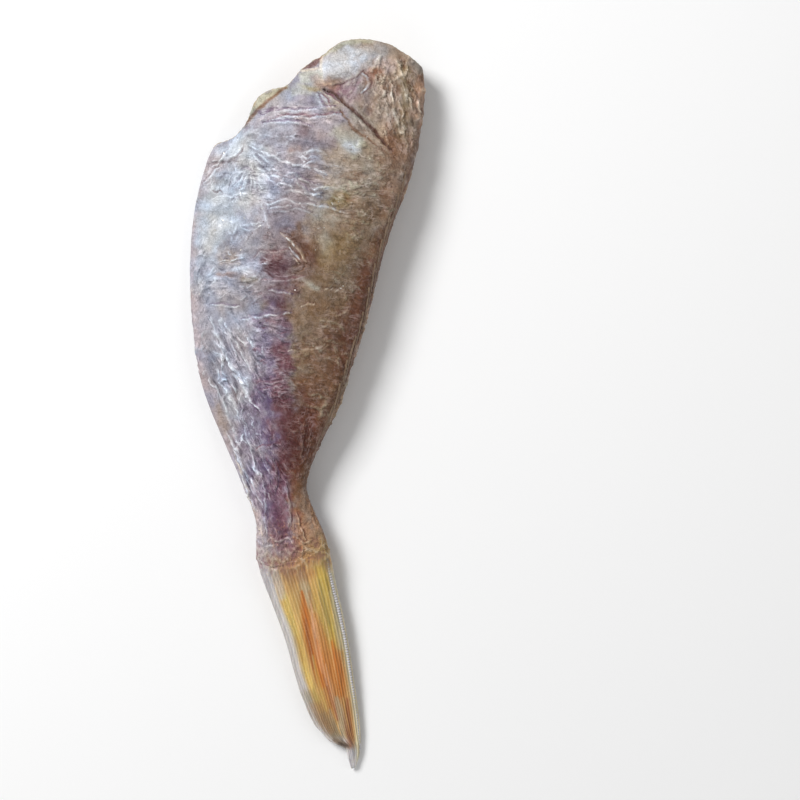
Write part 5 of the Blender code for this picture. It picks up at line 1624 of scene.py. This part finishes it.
@dataclass
class DriedFish:
    """The fish's skin with its cut flesh, and its tail fin, as two closed meshes over the solid."""

    levels: int = 2
    cut_edge: tuple[Point2, ...] = (
        (-24.0, 58.8), (-21.2, 63.2), (-18.8, 63.7), (-14.2, 68.2), (-12.4, 72.8), (-8.6, 75.6), (-4.8, 75.9),
        (-1.6, 79.6), (1.4, 82.1), (3.9, 82.9), (7.4, 85.8), (15.8, 86.6), (18.6, 86.2), (23.9, 83.4),
        (27.9, 80.6),
    )
    cut_faces: Point2 = (-0.387, 0.922)  # the way the cut end faces
    cut_depth: float = 8.5
    wall: float = 0.6  # flesh has at least this much over it and under it
    skin_end: tuple[Point2, ...] = (
        (-12.3, -34.4), (-10.8, -36.4), (-8.2, -37.1), (-4.2, -36.4), (-1.4, -35.9), (1.6, -34.3),
        (4.0, -33.7), (5.6, -34.8),
    )
    skin_end_height: float = 4.6  # above the table
    # x and the height of the solid's step down to the fin there
    skin_steps: tuple[Point2, ...] = (
        (-8.0, 1.3), (-5.0, 1.0), (-1.0, 0.9), (1.0, 0.75), (3.0, 0.5), (4.6, 0.25),
    )
    step_spread: Point2 = (3.0, -6.0)  # from where above the skin's end to where below it the step is spread
    merging: float = 5.0  # how far from its end the skin takes on the fin's colour
    tuck: float = 1.2  # how far each of the two meshes goes on inside the other
    lip: float = 3.0  # flesh that faces out of the cut lies this near its edge
    fibre_size: Point3 = (0.9, 0.9, 1.4)  # of the torn flesh
    fibre_rise: float = 0.35
    ruck_size: Point3 = (2.2, 2.8, 2.2)  # of the folds in the skin's rim
    ruck_rise: float = 0.45
    # right of this line, going down the fish, the skin of the back is smooth
    smooth_back: tuple[Point2, ...] = (
        (30.0, 90.0), (30.0, 60.0), (8.0, 56.0), (2.6, 44.0), (0.8, 30.0), (-0.6, 16.0), (-1.6, 4.0),
        (-2.6, -8.0), (-2.4, -22.0), (6.0, -27.0), (6.0, -40.0),
    )

    def build(self, solid: bpy.types.Object) -> tuple[bpy.types.Object, bpy.types.Object]:
        """Builds the fish's meshes from a copy of the solid.

        Args:
            solid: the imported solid's object, which is left as it is.

        Returns:
            The body and the tail fin.
        """
        rough = self.copied(solid)
        divided = rough.modifiers.new("divided", "SUBSURF")
        divided.levels = self.levels
        divided.render_levels = self.levels
        whole = finished_mesh(rough, "whole_fish")
        body = self.taken(whole.data, "dried_fish_skin", (Region.WRINKLED, Region.SMOOTH, Region.FLESH))
        fin = self.taken(whole.data, "tail_fin", (Region.FIN,))
        bpy.data.objects.remove(whole)
        self.dress_body(body.data)
        self.dress_fin(fin.data)
        for finish in (DriedFishSkin(), DriedFlesh()):
            body.data.materials.append(finish.material())
        fin.data.materials.append(DriedFinMembrane().material())
        return body, fin

    def copied(self, solid: bpy.types.Object) -> bpy.types.Object:
        """Copies the solid with its corners joined, its facets paired and its regions marked."""
        work = bmesh.new()
        work.from_mesh(solid.data)
        bmesh.ops.remove_doubles(work, verts=work.verts, dist=1e-6)
        square = math.radians(70.0)
        bmesh.ops.join_triangles(
            work, faces=work.faces, angle_face_threshold=square, angle_shape_threshold=square
        )
        work.normal_update()
        tree = BVHTree.FromBMesh(work)
        cut = unit_path(self.cut_edge)
        end = np.array(self.skin_end)
        back = np.array(self.smooth_back)[::-1]
        for face in work.faces:
            centre, normal = face.calc_center_median(), face.normal
            x, y = centre.x / MM, centre.y / MM
            face.smooth = True
            region = Region.WRINKLED
            if y < np.interp(x, end[:, 0], end[:, 1]):
                region = Region.FIN
            elif normal.z < -0.1 or x > np.interp(y, back[:, 1], back[:, 0]):
                region = Region.SMOOTH
            if self.is_flesh(tree, centre, normal, beside_path(np.array([[x, y]]), cut)[0][0]):
                region = Region.FLESH
            face.material_index = region.value
        mesh = bpy.data.meshes.new("rough_fish")
        work.to_mesh(mesh)
        work.free()
        return new_object("rough_fish", mesh)

    def is_flesh(self, tree: BVHTree, centre: Vector, normal: Vector, gap: float) -> bool:
        """Tells whether a face lies between the cut's two walls or faces out of the cut.

        Args:
            tree: the solid's search tree.
            centre: the face's centre.
            normal: the face's normal.
            gap: how far it is from the cut's edge, in millimetres.

        Returns:
            Whether the face is flesh.
        """
        if gap > self.cut_depth:
            return False
        if abs(normal.z) < 0.6 and normal.x * self.cut_faces[0] + normal.y * self.cut_faces[1] > 0.55:
            return gap < self.lip
        up = Vector((0.0, 0.0, 1.0))
        top = tree.ray_cast(Vector((centre.x, centre.y, 0.05)), -up)[0]
        low = tree.ray_cast(Vector((centre.x, centre.y, -0.05)), up)[0]
        if top is None or low is None:
            return False
        return low.z + self.wall * MM < centre.z < top.z - self.wall * MM

    def taken(self, whole: bpy.types.Mesh, name: str, regions: tuple[Region, ...]) -> bpy.types.Object:
        """Takes regions out of the whole mesh, closes them and divides the finely marked ones again.

        Args:
            whole: the divided mesh of the whole fish.
            name: the new piece's name.
            regions: the regions that are taken.

        Returns:
            The closed piece, whose hidden corners are marked by the attribute inner.
        """
        kept = {region.value for region in regions}
        work = bmesh.new()
        work.from_mesh(whole)
        others = [face for face in work.faces if face.material_index not in kept]
        bmesh.ops.delete(work, geom=others, context="FACES")
        inner = work.verts.layers.float.new("inner")
        rim = [edge for edge in work.edges if edge.is_boundary]
        made = bmesh.ops.extrude_edge_only(work, edges=rim)["geom"]
        way = 1.0 if Region.FIN in regions else -1.0
        for corner in (item for item in made if isinstance(item, bmesh.types.BMVert)):
            corner[inner] = 1.0
            corner.co.z += (self.skin_end_height * MM - corner.co.z) * 0.6
            corner.co.y += way * self.tuck * MM
        open_edges = [item for item in made if isinstance(item, bmesh.types.BMEdge) and item.is_boundary]
        bmesh.ops.holes_fill(work, edges=open_edges)
        bmesh.ops.recalc_face_normals(work, faces=work.faces)
        fine = (Region.WRINKLED.value, Region.FIN.value)
        wrinkled = [face for face in work.faces if face.material_index in fine and len(face.verts) < 5]
        bmesh.ops.poke(work, faces=wrinkled)
        for face in work.faces:
            face.smooth = all(corner[inner] < 0.5 for corner in face.verts)
            face.material_index = int(face.material_index == Region.FLESH.value)
        mesh = bpy.data.meshes.new(name)
        work.to_mesh(mesh)
        work.free()
        return new_object(name, mesh)

    def dress_body(self, mesh: bpy.types.Mesh) -> None:
        """Shapes the skin's wrinkles and the torn flesh, and lays their colours.

        Args:
            mesh: the body's divided mesh, which is changed.
        """
        places, normals, hidden = self.corners(mesh)
        count = len(places)
        above = ease(-0.2, 0.25, normals[:, 2])
        height, silver = np.zeros(count), np.zeros(count)
        colour, fine = np.zeros((count, 3)), np.zeros((count, len(FINE_RUNS)))
        for side, share in ((Hide(0, True), above), (Hide(70, False), 1.0 - above)):
            near = np.nonzero(share > 0.0)[0]
            part = side.sample(places[near])
            share = share[near]
            height[near] += share * part.height
            silver[near] += share * part.silver
            colour[near] += share[:, None] * part.colour
            fine[near] += share[:, None] * part.fine
        flesh = self.flesh_share(mesh)
        fibres = Grain(12).creased(places / np.array(self.fibre_size), 3)
        meat = blend_colour(np.tile(Tone.FLESH.rgb, (count, 1)), Tone.FLESH_DARK, ease(0.6, 0.2, fibres))
        meat = blend_colour(meat, Tone.BONE, self.rim_share(places) * 0.75)
        colour += flesh[:, None] * (meat - colour)
        height += flesh * (self.fibre_rise * (fibres - 0.5) - height)
        short = self.past_skin(places)
        near = np.nonzero(short < 2.0 * self.merging)[0]
        frayed = Grain(14).layered(places[near] * np.array([1.0, 0.4, 0.4]) / 1.3, 3, 0.7)
        merged = ease(self.merging, 0.0, short[near] + 1.2 * frayed * ease(0.0, 2.0, short[near]))
        colour[near] += merged[:, None] * (TailSkin().stained(places[near]) - colour[near])
        height[near] *= ease(0.0, 2.5, short[near])
        colour = self.rucked(places, colour)[1]
        bare = flesh.copy()
        bare[near] = np.maximum(bare[near], merged)
        self.settle(mesh, self.eased(places, above), normals, height * (1.0 - hidden))
        keep_paint(mesh, colour)
        keep_values(mesh, "silver", silver * (1.0 - bare))
        keep_values(mesh, "fine", fine * (1.0 - bare)[:, None])

    def dress_fin(self, mesh: bpy.types.Mesh) -> None:
        """Shapes the fin's ribs and lays its colours.

        Args:
            mesh: the fin's divided mesh, which is changed.
        """
        places, normals, hidden = self.corners(mesh)
        above = ease(-0.2, 0.25, normals[:, 2])
        over, under = TailSkin().sample(places), TailSkin(seed=61, upper=False).sample(places)
        height = under.height + above * (over.height - under.height)
        colour = self.rucked(places, under.colour + above[:, None] * (over.colour - under.colour))[1]
        self.settle(mesh, self.eased(places, above), normals, height * (1.0 - hidden))
        keep_paint(mesh, colour)

    def past_skin(self, places: np.ndarray) -> np.ndarray:
        """Measures how far places lie up the fish from the skin's end, in millimetres."""
        end = np.array(self.skin_end)
        return places[:, 1] - np.interp(places[:, 0], end[:, 0], end[:, 1])

    def eased(self, places: np.ndarray, above: np.ndarray) -> np.ndarray:
        """Spreads the step at the skin's end, on the upper side, into a gentle slope with folds in it."""
        short = self.past_skin(places)
        steps = np.array(self.skin_steps)
        step = np.interp(places[:, 0], steps[:, 0], steps[:, 1])
        spread = ease(0.5, -1.6, short) - ease(*self.step_spread, short)
        lift = step * spread + self.rucked(places, places)[0]
        return places + (above * lift)[:, None] * np.array([0.0, 0.0, 1.0])

    def rucked(self, places: np.ndarray, colour: np.ndarray) -> tuple[np.ndarray, np.ndarray]:
        """Draws the skin together into a pale crumpled rim where it ends, with painted shade in the folds'
        hollows and painted highlight on their crests.

        Args:
            places: rows of x, y and z in millimetres.
            colour: the colour so far.

        Returns:
            The folds' height in millimetres, and the new colour.
        """
        short = self.past_skin(places)
        rim = ease(-6.0, 0.6, short) * ease(6.0, 1.4, short)
        folds = Grain(16).creased(places / np.array(self.ruck_size), 3, 0.5)
        colour = blend_colour(colour, Tone.DUSTY_PINK, 0.45 * rim * ease(0.0, -8.0, places[:, 0]))
        colour = blend_colour(colour, Tone.FIN_TAN, 0.35 * rim * ease(-3.0, 2.0, places[:, 0]))
        # painted shade in the folds' hollows, then a painted highlight on their crests
        colour = blend_colour(colour, Tone.PLUM, 0.4 * rim * ease(0.34, 0.12, folds))
        colour = blend_colour(colour, Tone.CREAM, 0.45 * rim * ease(0.46, 0.84, folds))
        return self.ruck_rise * rim * (folds - 0.35), colour

    @staticmethod
    def corners(mesh: bpy.types.Mesh) -> tuple[np.ndarray, np.ndarray, np.ndarray]:
        """Reads a mesh's corners in millimetres, their normals and which of them are hidden inside."""
        count = len(mesh.vertices)
        places, normals, hidden = np.empty(count * 3), np.empty(count * 3), np.empty(count)
        mesh.vertices.foreach_get("co", places)
        mesh.vertex_normals.foreach_get("vector", normals)
        mesh.attributes["inner"].data.foreach_get("value", hidden)
        return places.reshape(-1, 3) / MM, normals.reshape(-1, 3), hidden

    @staticmethod
    def settle(mesh: bpy.types.Mesh, places: np.ndarray, normals: np.ndarray, height: np.ndarray) -> None:
        """Moves a mesh's corners out by their heights, and keeps what rests on the table flat."""
        resting = ease(0.9, 0.2, places[:, 2]) * (normals[:, 2] < 0.0)
        moved = places + normals * (height * (1.0 - 0.9 * resting))[:, None]
        moved[:, 2] = np.maximum(moved[:, 2], 0.0)
        mesh.vertices.foreach_set("co", (moved * MM).ravel())
        mesh.update()

    @staticmethod
    def flesh_share(mesh: bpy.types.Mesh) -> np.ndarray:
        """Gives the share of each corner's faces that are flesh."""
        flesh = np.zeros(len(mesh.vertices))
        total = np.zeros(len(mesh.vertices))
        for face in mesh.polygons:
            for corner in face.vertices:
                total[corner] += 1.0
                flesh[corner] += face.material_index
        return flesh / np.maximum(total, 1.0)

    def rim_share(self, places: np.ndarray) -> np.ndarray:
        """Gives 1 on the cut's pale dry rim and 0 deep inside the cut."""
        return 1.0 - ease(0.3, 1.6, beside_path(places[:, :2], unit_path(self.cut_edge))[0])


def look_up(fish: bpy.types.Object) -> BVHTree:
    """Makes a search tree of the dressed fish, for what is laid on it."""
    work = bmesh.new()
    work.from_mesh(fish.data)
    tree = BVHTree.FromBMesh(work)
    work.free()
    return tree


def laid_on(tree: BVHTree, spots: np.ndarray, above: bool, sink: float) -> list[Vector]:
    """Lays a path on the fish.

    Args:
        tree: the fish's search tree.
        spots: rows of x and y in millimetres.
        above: whether the path lies on the upper side.
        sink: how far it sinks into the skin, in millimetres.

    Returns:
        The path's places in metres, on the skin.
    """
    start, way = (0.05, -1.0) if above else (-0.05, 1.0)
    path = []
    for x, y in spots:
        hit, normal, _, _ = tree.ray_cast(Vector((x * MM, y * MM, start)), Vector((0.0, 0.0, way)))
        if hit is None:
            hit, normal, _, _ = tree.find_nearest(Vector((x * MM, y * MM, 5.0 * MM)))
        path.append(hit - normal * sink * MM)
    return path


@dataclass
class JointedRods:
    """Jointed rods along paths on the fish, each as thick and as coloured as it is place by place."""

    joint_length: float
    joint_depth: float  # how much thinner a rod is at a joint, as a share
    sides: int = 6
    corners: list[Vector] = field(default_factory=list)  # metres
    edges: list[tuple[int, int]] = field(default_factory=list)
    girths: list[np.ndarray] = field(default_factory=list)  # metres
    paints: list[np.ndarray] = field(default_factory=list)  # sRGB

    def add(self, path: list[Vector], girth: np.ndarray, paint: np.ndarray) -> None:
        """Adds a rod: its places, and its radius in millimetres and sRGB colour at each of them."""
        first = len(self.corners)
        self.corners.extend(path)
        self.edges.extend((first + at, first + at + 1) for at in range(len(path) - 1))
        self.girths.append(girth * MM)
        self.paints.append(paint)

    def tree(self) -> bpy.types.NodeTree:
        """Builds the node tree.

        Returns:
            The tree, with the inputs Joint Length, Joint Depth, Sides and Material.
        """
        inputs = {"Joint Length": "Float", "Joint Depth": "Float", "Sides": "Int", "Material": "Material"}
        tree, given = new_tree("jointed_rods", inputs)
        curves = add_node(tree, "GeometryNodeMeshToCurve", links={"Mesh": given["Geometry"]})
        step = add_node(tree, MATH, {"operation": "DIVIDE", 1: 4.0}, {0: given["Joint Length"]})
        even = add_node(tree, "GeometryNodeResampleCurve", {"mode": "LENGTH"},
                        {"Curve": curves, "Length": step})
        girth = add_node(tree, "GeometryNodeInputNamedAttribute", {"data_type": "FLOAT", "Name": "girth"})
        where = add_node(tree, "GeometryNodeSplineParameter")
        turns = add_node(tree, MATH, {"operation": "DIVIDE"},
                         {0: where.outputs["Length"], 1: given["Joint Length"]})
        phase = add_node(tree, MATH, {"operation": "MULTIPLY", 1: 2.0 * math.pi}, {0: turns})
        wave = add_node(tree, MATH, {"operation": "COSINE"}, {0: phase})
        lifted = add_node(tree, MATH, {"operation": "MAXIMUM", 1: 0.0}, {0: wave})
        marked = add_node(
            tree, "GeometryNodeStoreNamedAttribute",
            {"data_type": "FLOAT", "domain": "POINT", "Name": "joint"},
            {"Geometry": even, "Value": lifted},
        )
        narrow = add_node(tree, MATH, {"operation": "MULTIPLY"}, {0: lifted, 1: given["Joint Depth"]})
        share = add_node(tree, MATH, {"operation": "SUBTRACT", 0: 1.0}, {1: narrow})
        radius = add_node(tree, MATH, {"operation": "MULTIPLY"}, {0: girth, 1: share})
        thick = add_node(tree, "GeometryNodeSetCurveRadius", links={"Curve": marked, "Radius": radius})
        ring = add_node(tree, "GeometryNodeCurvePrimitiveCircle", {"Radius": 1.0},
                        {"Resolution": given["Sides"]})
        rods = add_node(tree, "GeometryNodeCurveToMesh", {"Fill Caps": True},
                        {"Curve": thick, "Profile Curve": ring})
        if "Scale" in rods.inputs:
            tree.links.new(radius.outputs[0], rods.inputs["Scale"])
        smooth = add_node(tree, "GeometryNodeSetShadeSmooth", links={0: rods})
        finish_tree(tree, smooth, given["Material"])
        return tree

    def build(self, name: str, finish: DriedFinRay) -> bpy.types.Object:
        """Turns the paths into rods.

        Args:
            name: the finished piece's name.
            finish: the rods' finish.

        Returns:
            The rods as a plain mesh object.
        """
        mesh = bpy.data.meshes.new("ray_paths")
        mesh.from_pydata(self.corners, self.edges, [])
        keep_values(mesh, "girth", np.concatenate(self.girths))
        keep_paint(mesh, np.clip(np.vstack(self.paints), 0.0, 1.0))
        sizes = {"Joint Length": self.joint_length * MM, "Joint Depth": self.joint_depth, "Sides": self.sides,
                 "Material": finish.material()}
        return grown(new_object("ray_paths", mesh), self.tree(), sizes, name)


@dataclass
class TailRays:
    """The jointed rays of the folded tail fin, on both sides, and its stout upper margin ray."""

    rays: int = 22
    ray_girth: float = 0.15
    ray_sink: float = 0.09  # into the skin
    ray_places: int = 70  # along each path
    first_across: float = 0.07  # shares across the fin
    spread: float = 0.83
    margin_girth: float = 0.58
    margin_sink: float = 0.30
    margin_places: int = 110
    margin_across: float = 0.945
    seed: int = 5

    def build(self, tree: BVHTree) -> list[bpy.types.Object]:
        """Builds the rays.

        Args:
            tree: the fin's search tree.

        Returns:
            The thin rays and the margin rays, as two objects.
        """
        return [self.thin(tree), self.margin(tree)]

    def thin(self, tree: BVHTree) -> bpy.types.Object:
        """Builds the thin rays, each a little out of step with the next."""
        random = np.random.default_rng(self.seed)
        fin = TailSkin()
        rods = JointedRods(joint_length=0.9, joint_depth=0.3)
        taper = np.sin(np.linspace(0.10, 0.97, self.ray_places) * math.pi) ** 0.5
        for above in (True, False):
            for index in range(self.rays):
                across = self.first_across + self.spread * (index + 0.35 * random.random()) / (self.rays - 1)
                end = 0.92 - 0.34 * abs(across - 0.75) - 0.10 * random.random()
                along = np.linspace(0.03 + 0.05 * random.random(), end, self.ray_places)
                bend = 0.012 * np.sin(along * 9.0 + random.random() * 6.0)
                spots = fin.place(along, across + bend)
                girth = self.ray_girth * (0.5 + 0.6 * random.random()) * taper
                colour = fin.stained(np.column_stack([spots, np.zeros(len(spots))]))
                pale = np.full(len(spots), 0.06 + 0.22 * random.random())
                paint = blend_colour(colour, Tone.CREAM, pale)
                rods.add(laid_on(tree, spots, above, self.ray_sink), girth, paint)
        finish = DriedFinRay("dried_fin_ray_bone", cloud=0.5, joint_shade=0.16)
        return rods.build("tail_fin_rays", finish)

    def margin(self, tree: BVHTree) -> bpy.types.Object:
        """Builds the stout ray on the upper edge, once on each side."""
        rods = JointedRods(joint_length=0.62, joint_depth=0.42, sides=8)
        along = np.linspace(0.02, 0.93, self.margin_places)
        spots = TailSkin().place(along, self.margin_across)
        taper = (0.55 + 0.45 * ease(0.0, 0.16, along)) * np.linspace(1.0, 0.45, self.margin_places)
        white = np.tile(Tone.FIN_WHITE.rgb, (self.margin_places, 1))
        paint = blend_colour(white, Tone.OLIVE, ease(0.14, 0.03, along))
        for above in (True, False):
            rods.add(laid_on(tree, spots, above, self.margin_sink), self.margin_girth * taper, paint)
        finish = DriedFinRay("pale_margin_ray_bone", cloud=0.4, joint_shade=0.42)
        return rods.build("tail_margin_rays", finish)


@dataclass
class DorsalSpines:
    """The back fin's spines, pressed flat along the back edge while the fish dried."""

    bases: tuple[float, ...] = (55.6, 50.4, 44.8, 39.6, 34.0, 28.4, 22.6, 17.0, 11.4, 5.8, 0.6)  # their y
    length: float = 15.0
    girth: float = 0.32
    sink: float = 0.04  # into the skin
    places: int = 24  # along each path
    back_edge: tuple[Point2, ...] = (
        (27.9, 80.6), (28.3, 74.8), (27.2, 64.5), (23.6, 51.0), (20.6, 43.2), (17.9, 34.4), (14.3, 20.4),
        (11.1, 10.9), (7.4, -0.4), (2.1, -11.0), (-0.1, -18.4), (1.7, -24.2),
    )

    def build(self, tree: BVHTree) -> bpy.types.Object:
        """Builds the spines.

        Args:
            tree: the fish's search tree.

        Returns:
            The spines as one object.
        """
        edge = smooth_path(np.array(self.back_edge))[::-1]
        rods = JointedRods(joint_length=10.0, joint_depth=0.0)
        for index, y in enumerate(self.bases):
            ys = np.linspace(y, y - self.length * (0.8 + 0.25 * ((index * 7) % 5) / 5.0), self.places)
            inset = np.linspace(1.5, 0.35, len(ys)) + 0.05 * np.sin(ys * 0.5 + index)
            xs = np.interp(ys, edge[:, 1], edge[:, 0]) - inset
            sand = np.tile(Tone.SAND.rgb, (len(ys), 1))
            rods.add(laid_on(tree, np.column_stack([xs, ys]), True, self.sink),
                     self.girth * np.linspace(1.0, 0.25, len(ys)),
                     blend_colour(sand, Tone.KHAKI, np.linspace(0.8, 0.0, len(ys))))
        finish = DriedFinRay("dried_fin_spine_bone", cloud=1.2, joint_shade=0.0)
        return rods.build("back_fin_spines", finish)


@dataclass
class ScaleSlivers:
    """Slivers of scale that stayed on the skin and catch the light."""

    density: float = 60000.0  # to the square metre where the skin is silver
    size: float = 0.30
    thickness: float = 0.05
    patch_size: float = 6.0  # they lie in patches
    fin_start: float = -34.0  # y from which there are none
    seed: int = 8

    def tree(self) -> bpy.types.NodeTree:
        """Builds the node tree.

        Returns:
            The tree, with the inputs Density, Size, Thickness, Seed and Material.
        """
        inputs = {"Density": "Float", "Size": "Float", "Thickness": "Float", "Seed": "Int",
                  "Material": "Material"}
        tree, given = new_tree("scale_slivers", inputs)
        share = add_node(
            tree, "GeometryNodeInputNamedAttribute", {"data_type": "FLOAT", "Name": "sliver_share"},
        )
        density = add_node(tree, MATH, {"operation": "MULTIPLY"}, {0: share, 1: given["Density"]})
        spots = add_node(tree, "GeometryNodeDistributePointsOnFaces", {"distribute_method": "RANDOM"},
                         {"Mesh": given["Geometry"], "Density": density, "Seed": given["Seed"]})
        disc = add_node(tree, "GeometryNodeMeshCylinder", {"Vertices": 6},
                        {"Radius": given["Size"], "Depth": given["Thickness"]})
        spin = add_node(tree, "FunctionNodeRandomValue", {"data_type": "FLOAT", 3: 6.28},
                        {"Seed": given["Seed"]})
        turned = add_node(tree, "ShaderNodeCombineXYZ", links={"Z": spin.outputs[1]})
        rotated = add_node(tree, "FunctionNodeRotateEuler", {"space": "LOCAL"},
                           {"Rotation": spots.outputs["Rotation"], "Rotate By": turned})
        sizes = add_node(
            tree, "FunctionNodeRandomValue",
            {"data_type": "FLOAT_VECTOR", 0: (0.35, 0.2, 0.7), 1: (1.5, 0.6, 1.1)},
            {"Seed": given["Seed"]},
        )
        placed = add_node(
            tree, "GeometryNodeInstanceOnPoints",
            links={"Points": spots.outputs["Points"], "Instance": disc.outputs["Mesh"],
                   "Rotation": rotated, "Scale": sizes},
        )
        finish_tree(tree, placed, given["Material"])
        return tree

    def build(self, fish: bpy.types.Object) -> bpy.types.Object:
        """Scatters the slivers.

        Args:
            fish: the dressed fish, which carries them.

        Returns:
            The slivers as one object.
        """
        bed = new_object("sliver_bed", fish.data.copy())
        count = len(bed.data.vertices)
        silver = np.empty(count, np.float32)
        bed.data.attributes["silver"].data.foreach_get("value", silver)
        places = np.empty(count * 3)
        bed.data.vertices.foreach_get("co", places)
        places = places.reshape(-1, 3)
        patchy = Grain(self.seed).layered(places / (self.patch_size * MM), 2)
        bare = places[:, 1] < self.fin_start * MM
        share = np.where(bare, 0.0, (0.10 + 0.9 * silver) * ease(-0.1, 0.5, patchy))
        keep_values(bed.data, "sliver_share", share)
        sizes = {"Density": self.density, "Size": self.size * MM, "Thickness": self.thickness * MM,
                 "Seed": self.seed, "Material": SilverFlake().material()}
        return grown(bed, self.tree(), sizes, "scale_slivers")


# ---- the studio -----------------------------------------------------------------------------------


@dataclass
class Studio:
    """The pale floor, the soft lights and the camera straight above the fish."""

    floor_size: float = 1.6  # metres
    floor_height: float = -0.02
    photo_width: float = 188.8  # millimetres that the photograph's 800 pixels span
    photo_centre: Point2 = (22.1, 1.9)
    focus_height: float = 8.0
    lens: float = 85.0
    sensor: float = 36.0
    # a lamp's name, place and size in metres, and power
    lamps: tuple[tuple[str, Point3, float, float], ...] = (
        ("key_light", (-0.46, 0.42, 0.58), 0.34, 6.9),
        ("fill_light", (0.55, 0.1, 0.55), 0.6, 0.8),
        ("low_light", (-0.1, -0.6, 0.35), 0.5, 0.5),
    )
    sky: float = 0.28

    def build(self) -> bpy.types.Object:
        """Builds the studio.

        Returns:
            The floor.
        """
        self.camera()
        self.lights()
        mesh = bpy.data.meshes.new("studio_floor")
        half = self.floor_size / 2.0
        low = self.floor_height * MM
        corners = [(x * half, y * half, low) for x, y in ((-1, -1), (1, -1), (1, 1), (-1, 1))]
        mesh.from_pydata(corners, [], [(0, 1, 2, 3)])
        mesh.materials.append(PaleFloor().material())
        return new_object("studio_floor", mesh)

    def camera(self) -> None:
        """Sets the camera where the photograph was taken from, looking straight down."""
        data = bpy.data.cameras.new("camera")
        data.lens = self.lens
        data.sensor_width = self.sensor
        data.clip_start = 0.01
        camera = new_object("camera", data)
        distance = self.photo_width * self.lens / self.sensor
        camera.location = Vector((*self.photo_centre, distance + self.focus_height)) * MM
        bpy.context.scene.camera = camera

    def lights(self) -> None:
        """Hangs a large soft key light, a fill and an even sky."""
        for name, place, size, power in self.lamps:
            data = bpy.data.lights.new(name, "AREA")
            data.size = size
            data.energy = power
            light = new_object(name, data)
            light.location = place
            light.rotation_euler = Vector(place).to_track_quat("Z", "Y").to_euler()
        world = bpy.data.worlds.new("sky")
        world.use_nodes = True
        sky = world.node_tree.nodes["Background"].inputs
        sky["Color"].default_value = (1.0, 1.0, 1.0, 1.0)
        sky["Strength"].default_value = self.sky
        bpy.context.scene.world = world
        bpy.context.scene.view_settings.view_transform = "Standard"


def main() -> None:
    """Builds the pieces in order, hangs them on the frame and reports each."""
    logging.basicConfig(level=logging.INFO, format="%(name)s: %(message)s")
    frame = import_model()
    body, fin = DriedFish().build(frame["nodes"][NODE])
    for piece in (body, fin):
        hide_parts(NODE)
    pieces = [body, fin, *TailRays().build(look_up(fin)), DorsalSpines().build(look_up(body)),
              ScaleSlivers().build(body)]
    for piece in pieces:
        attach(piece, BODY)
        LOG.info("%s: %d triangles", piece.name, triangles(piece.data))
    Studio().build()


if __name__ == "__main__":
    main()
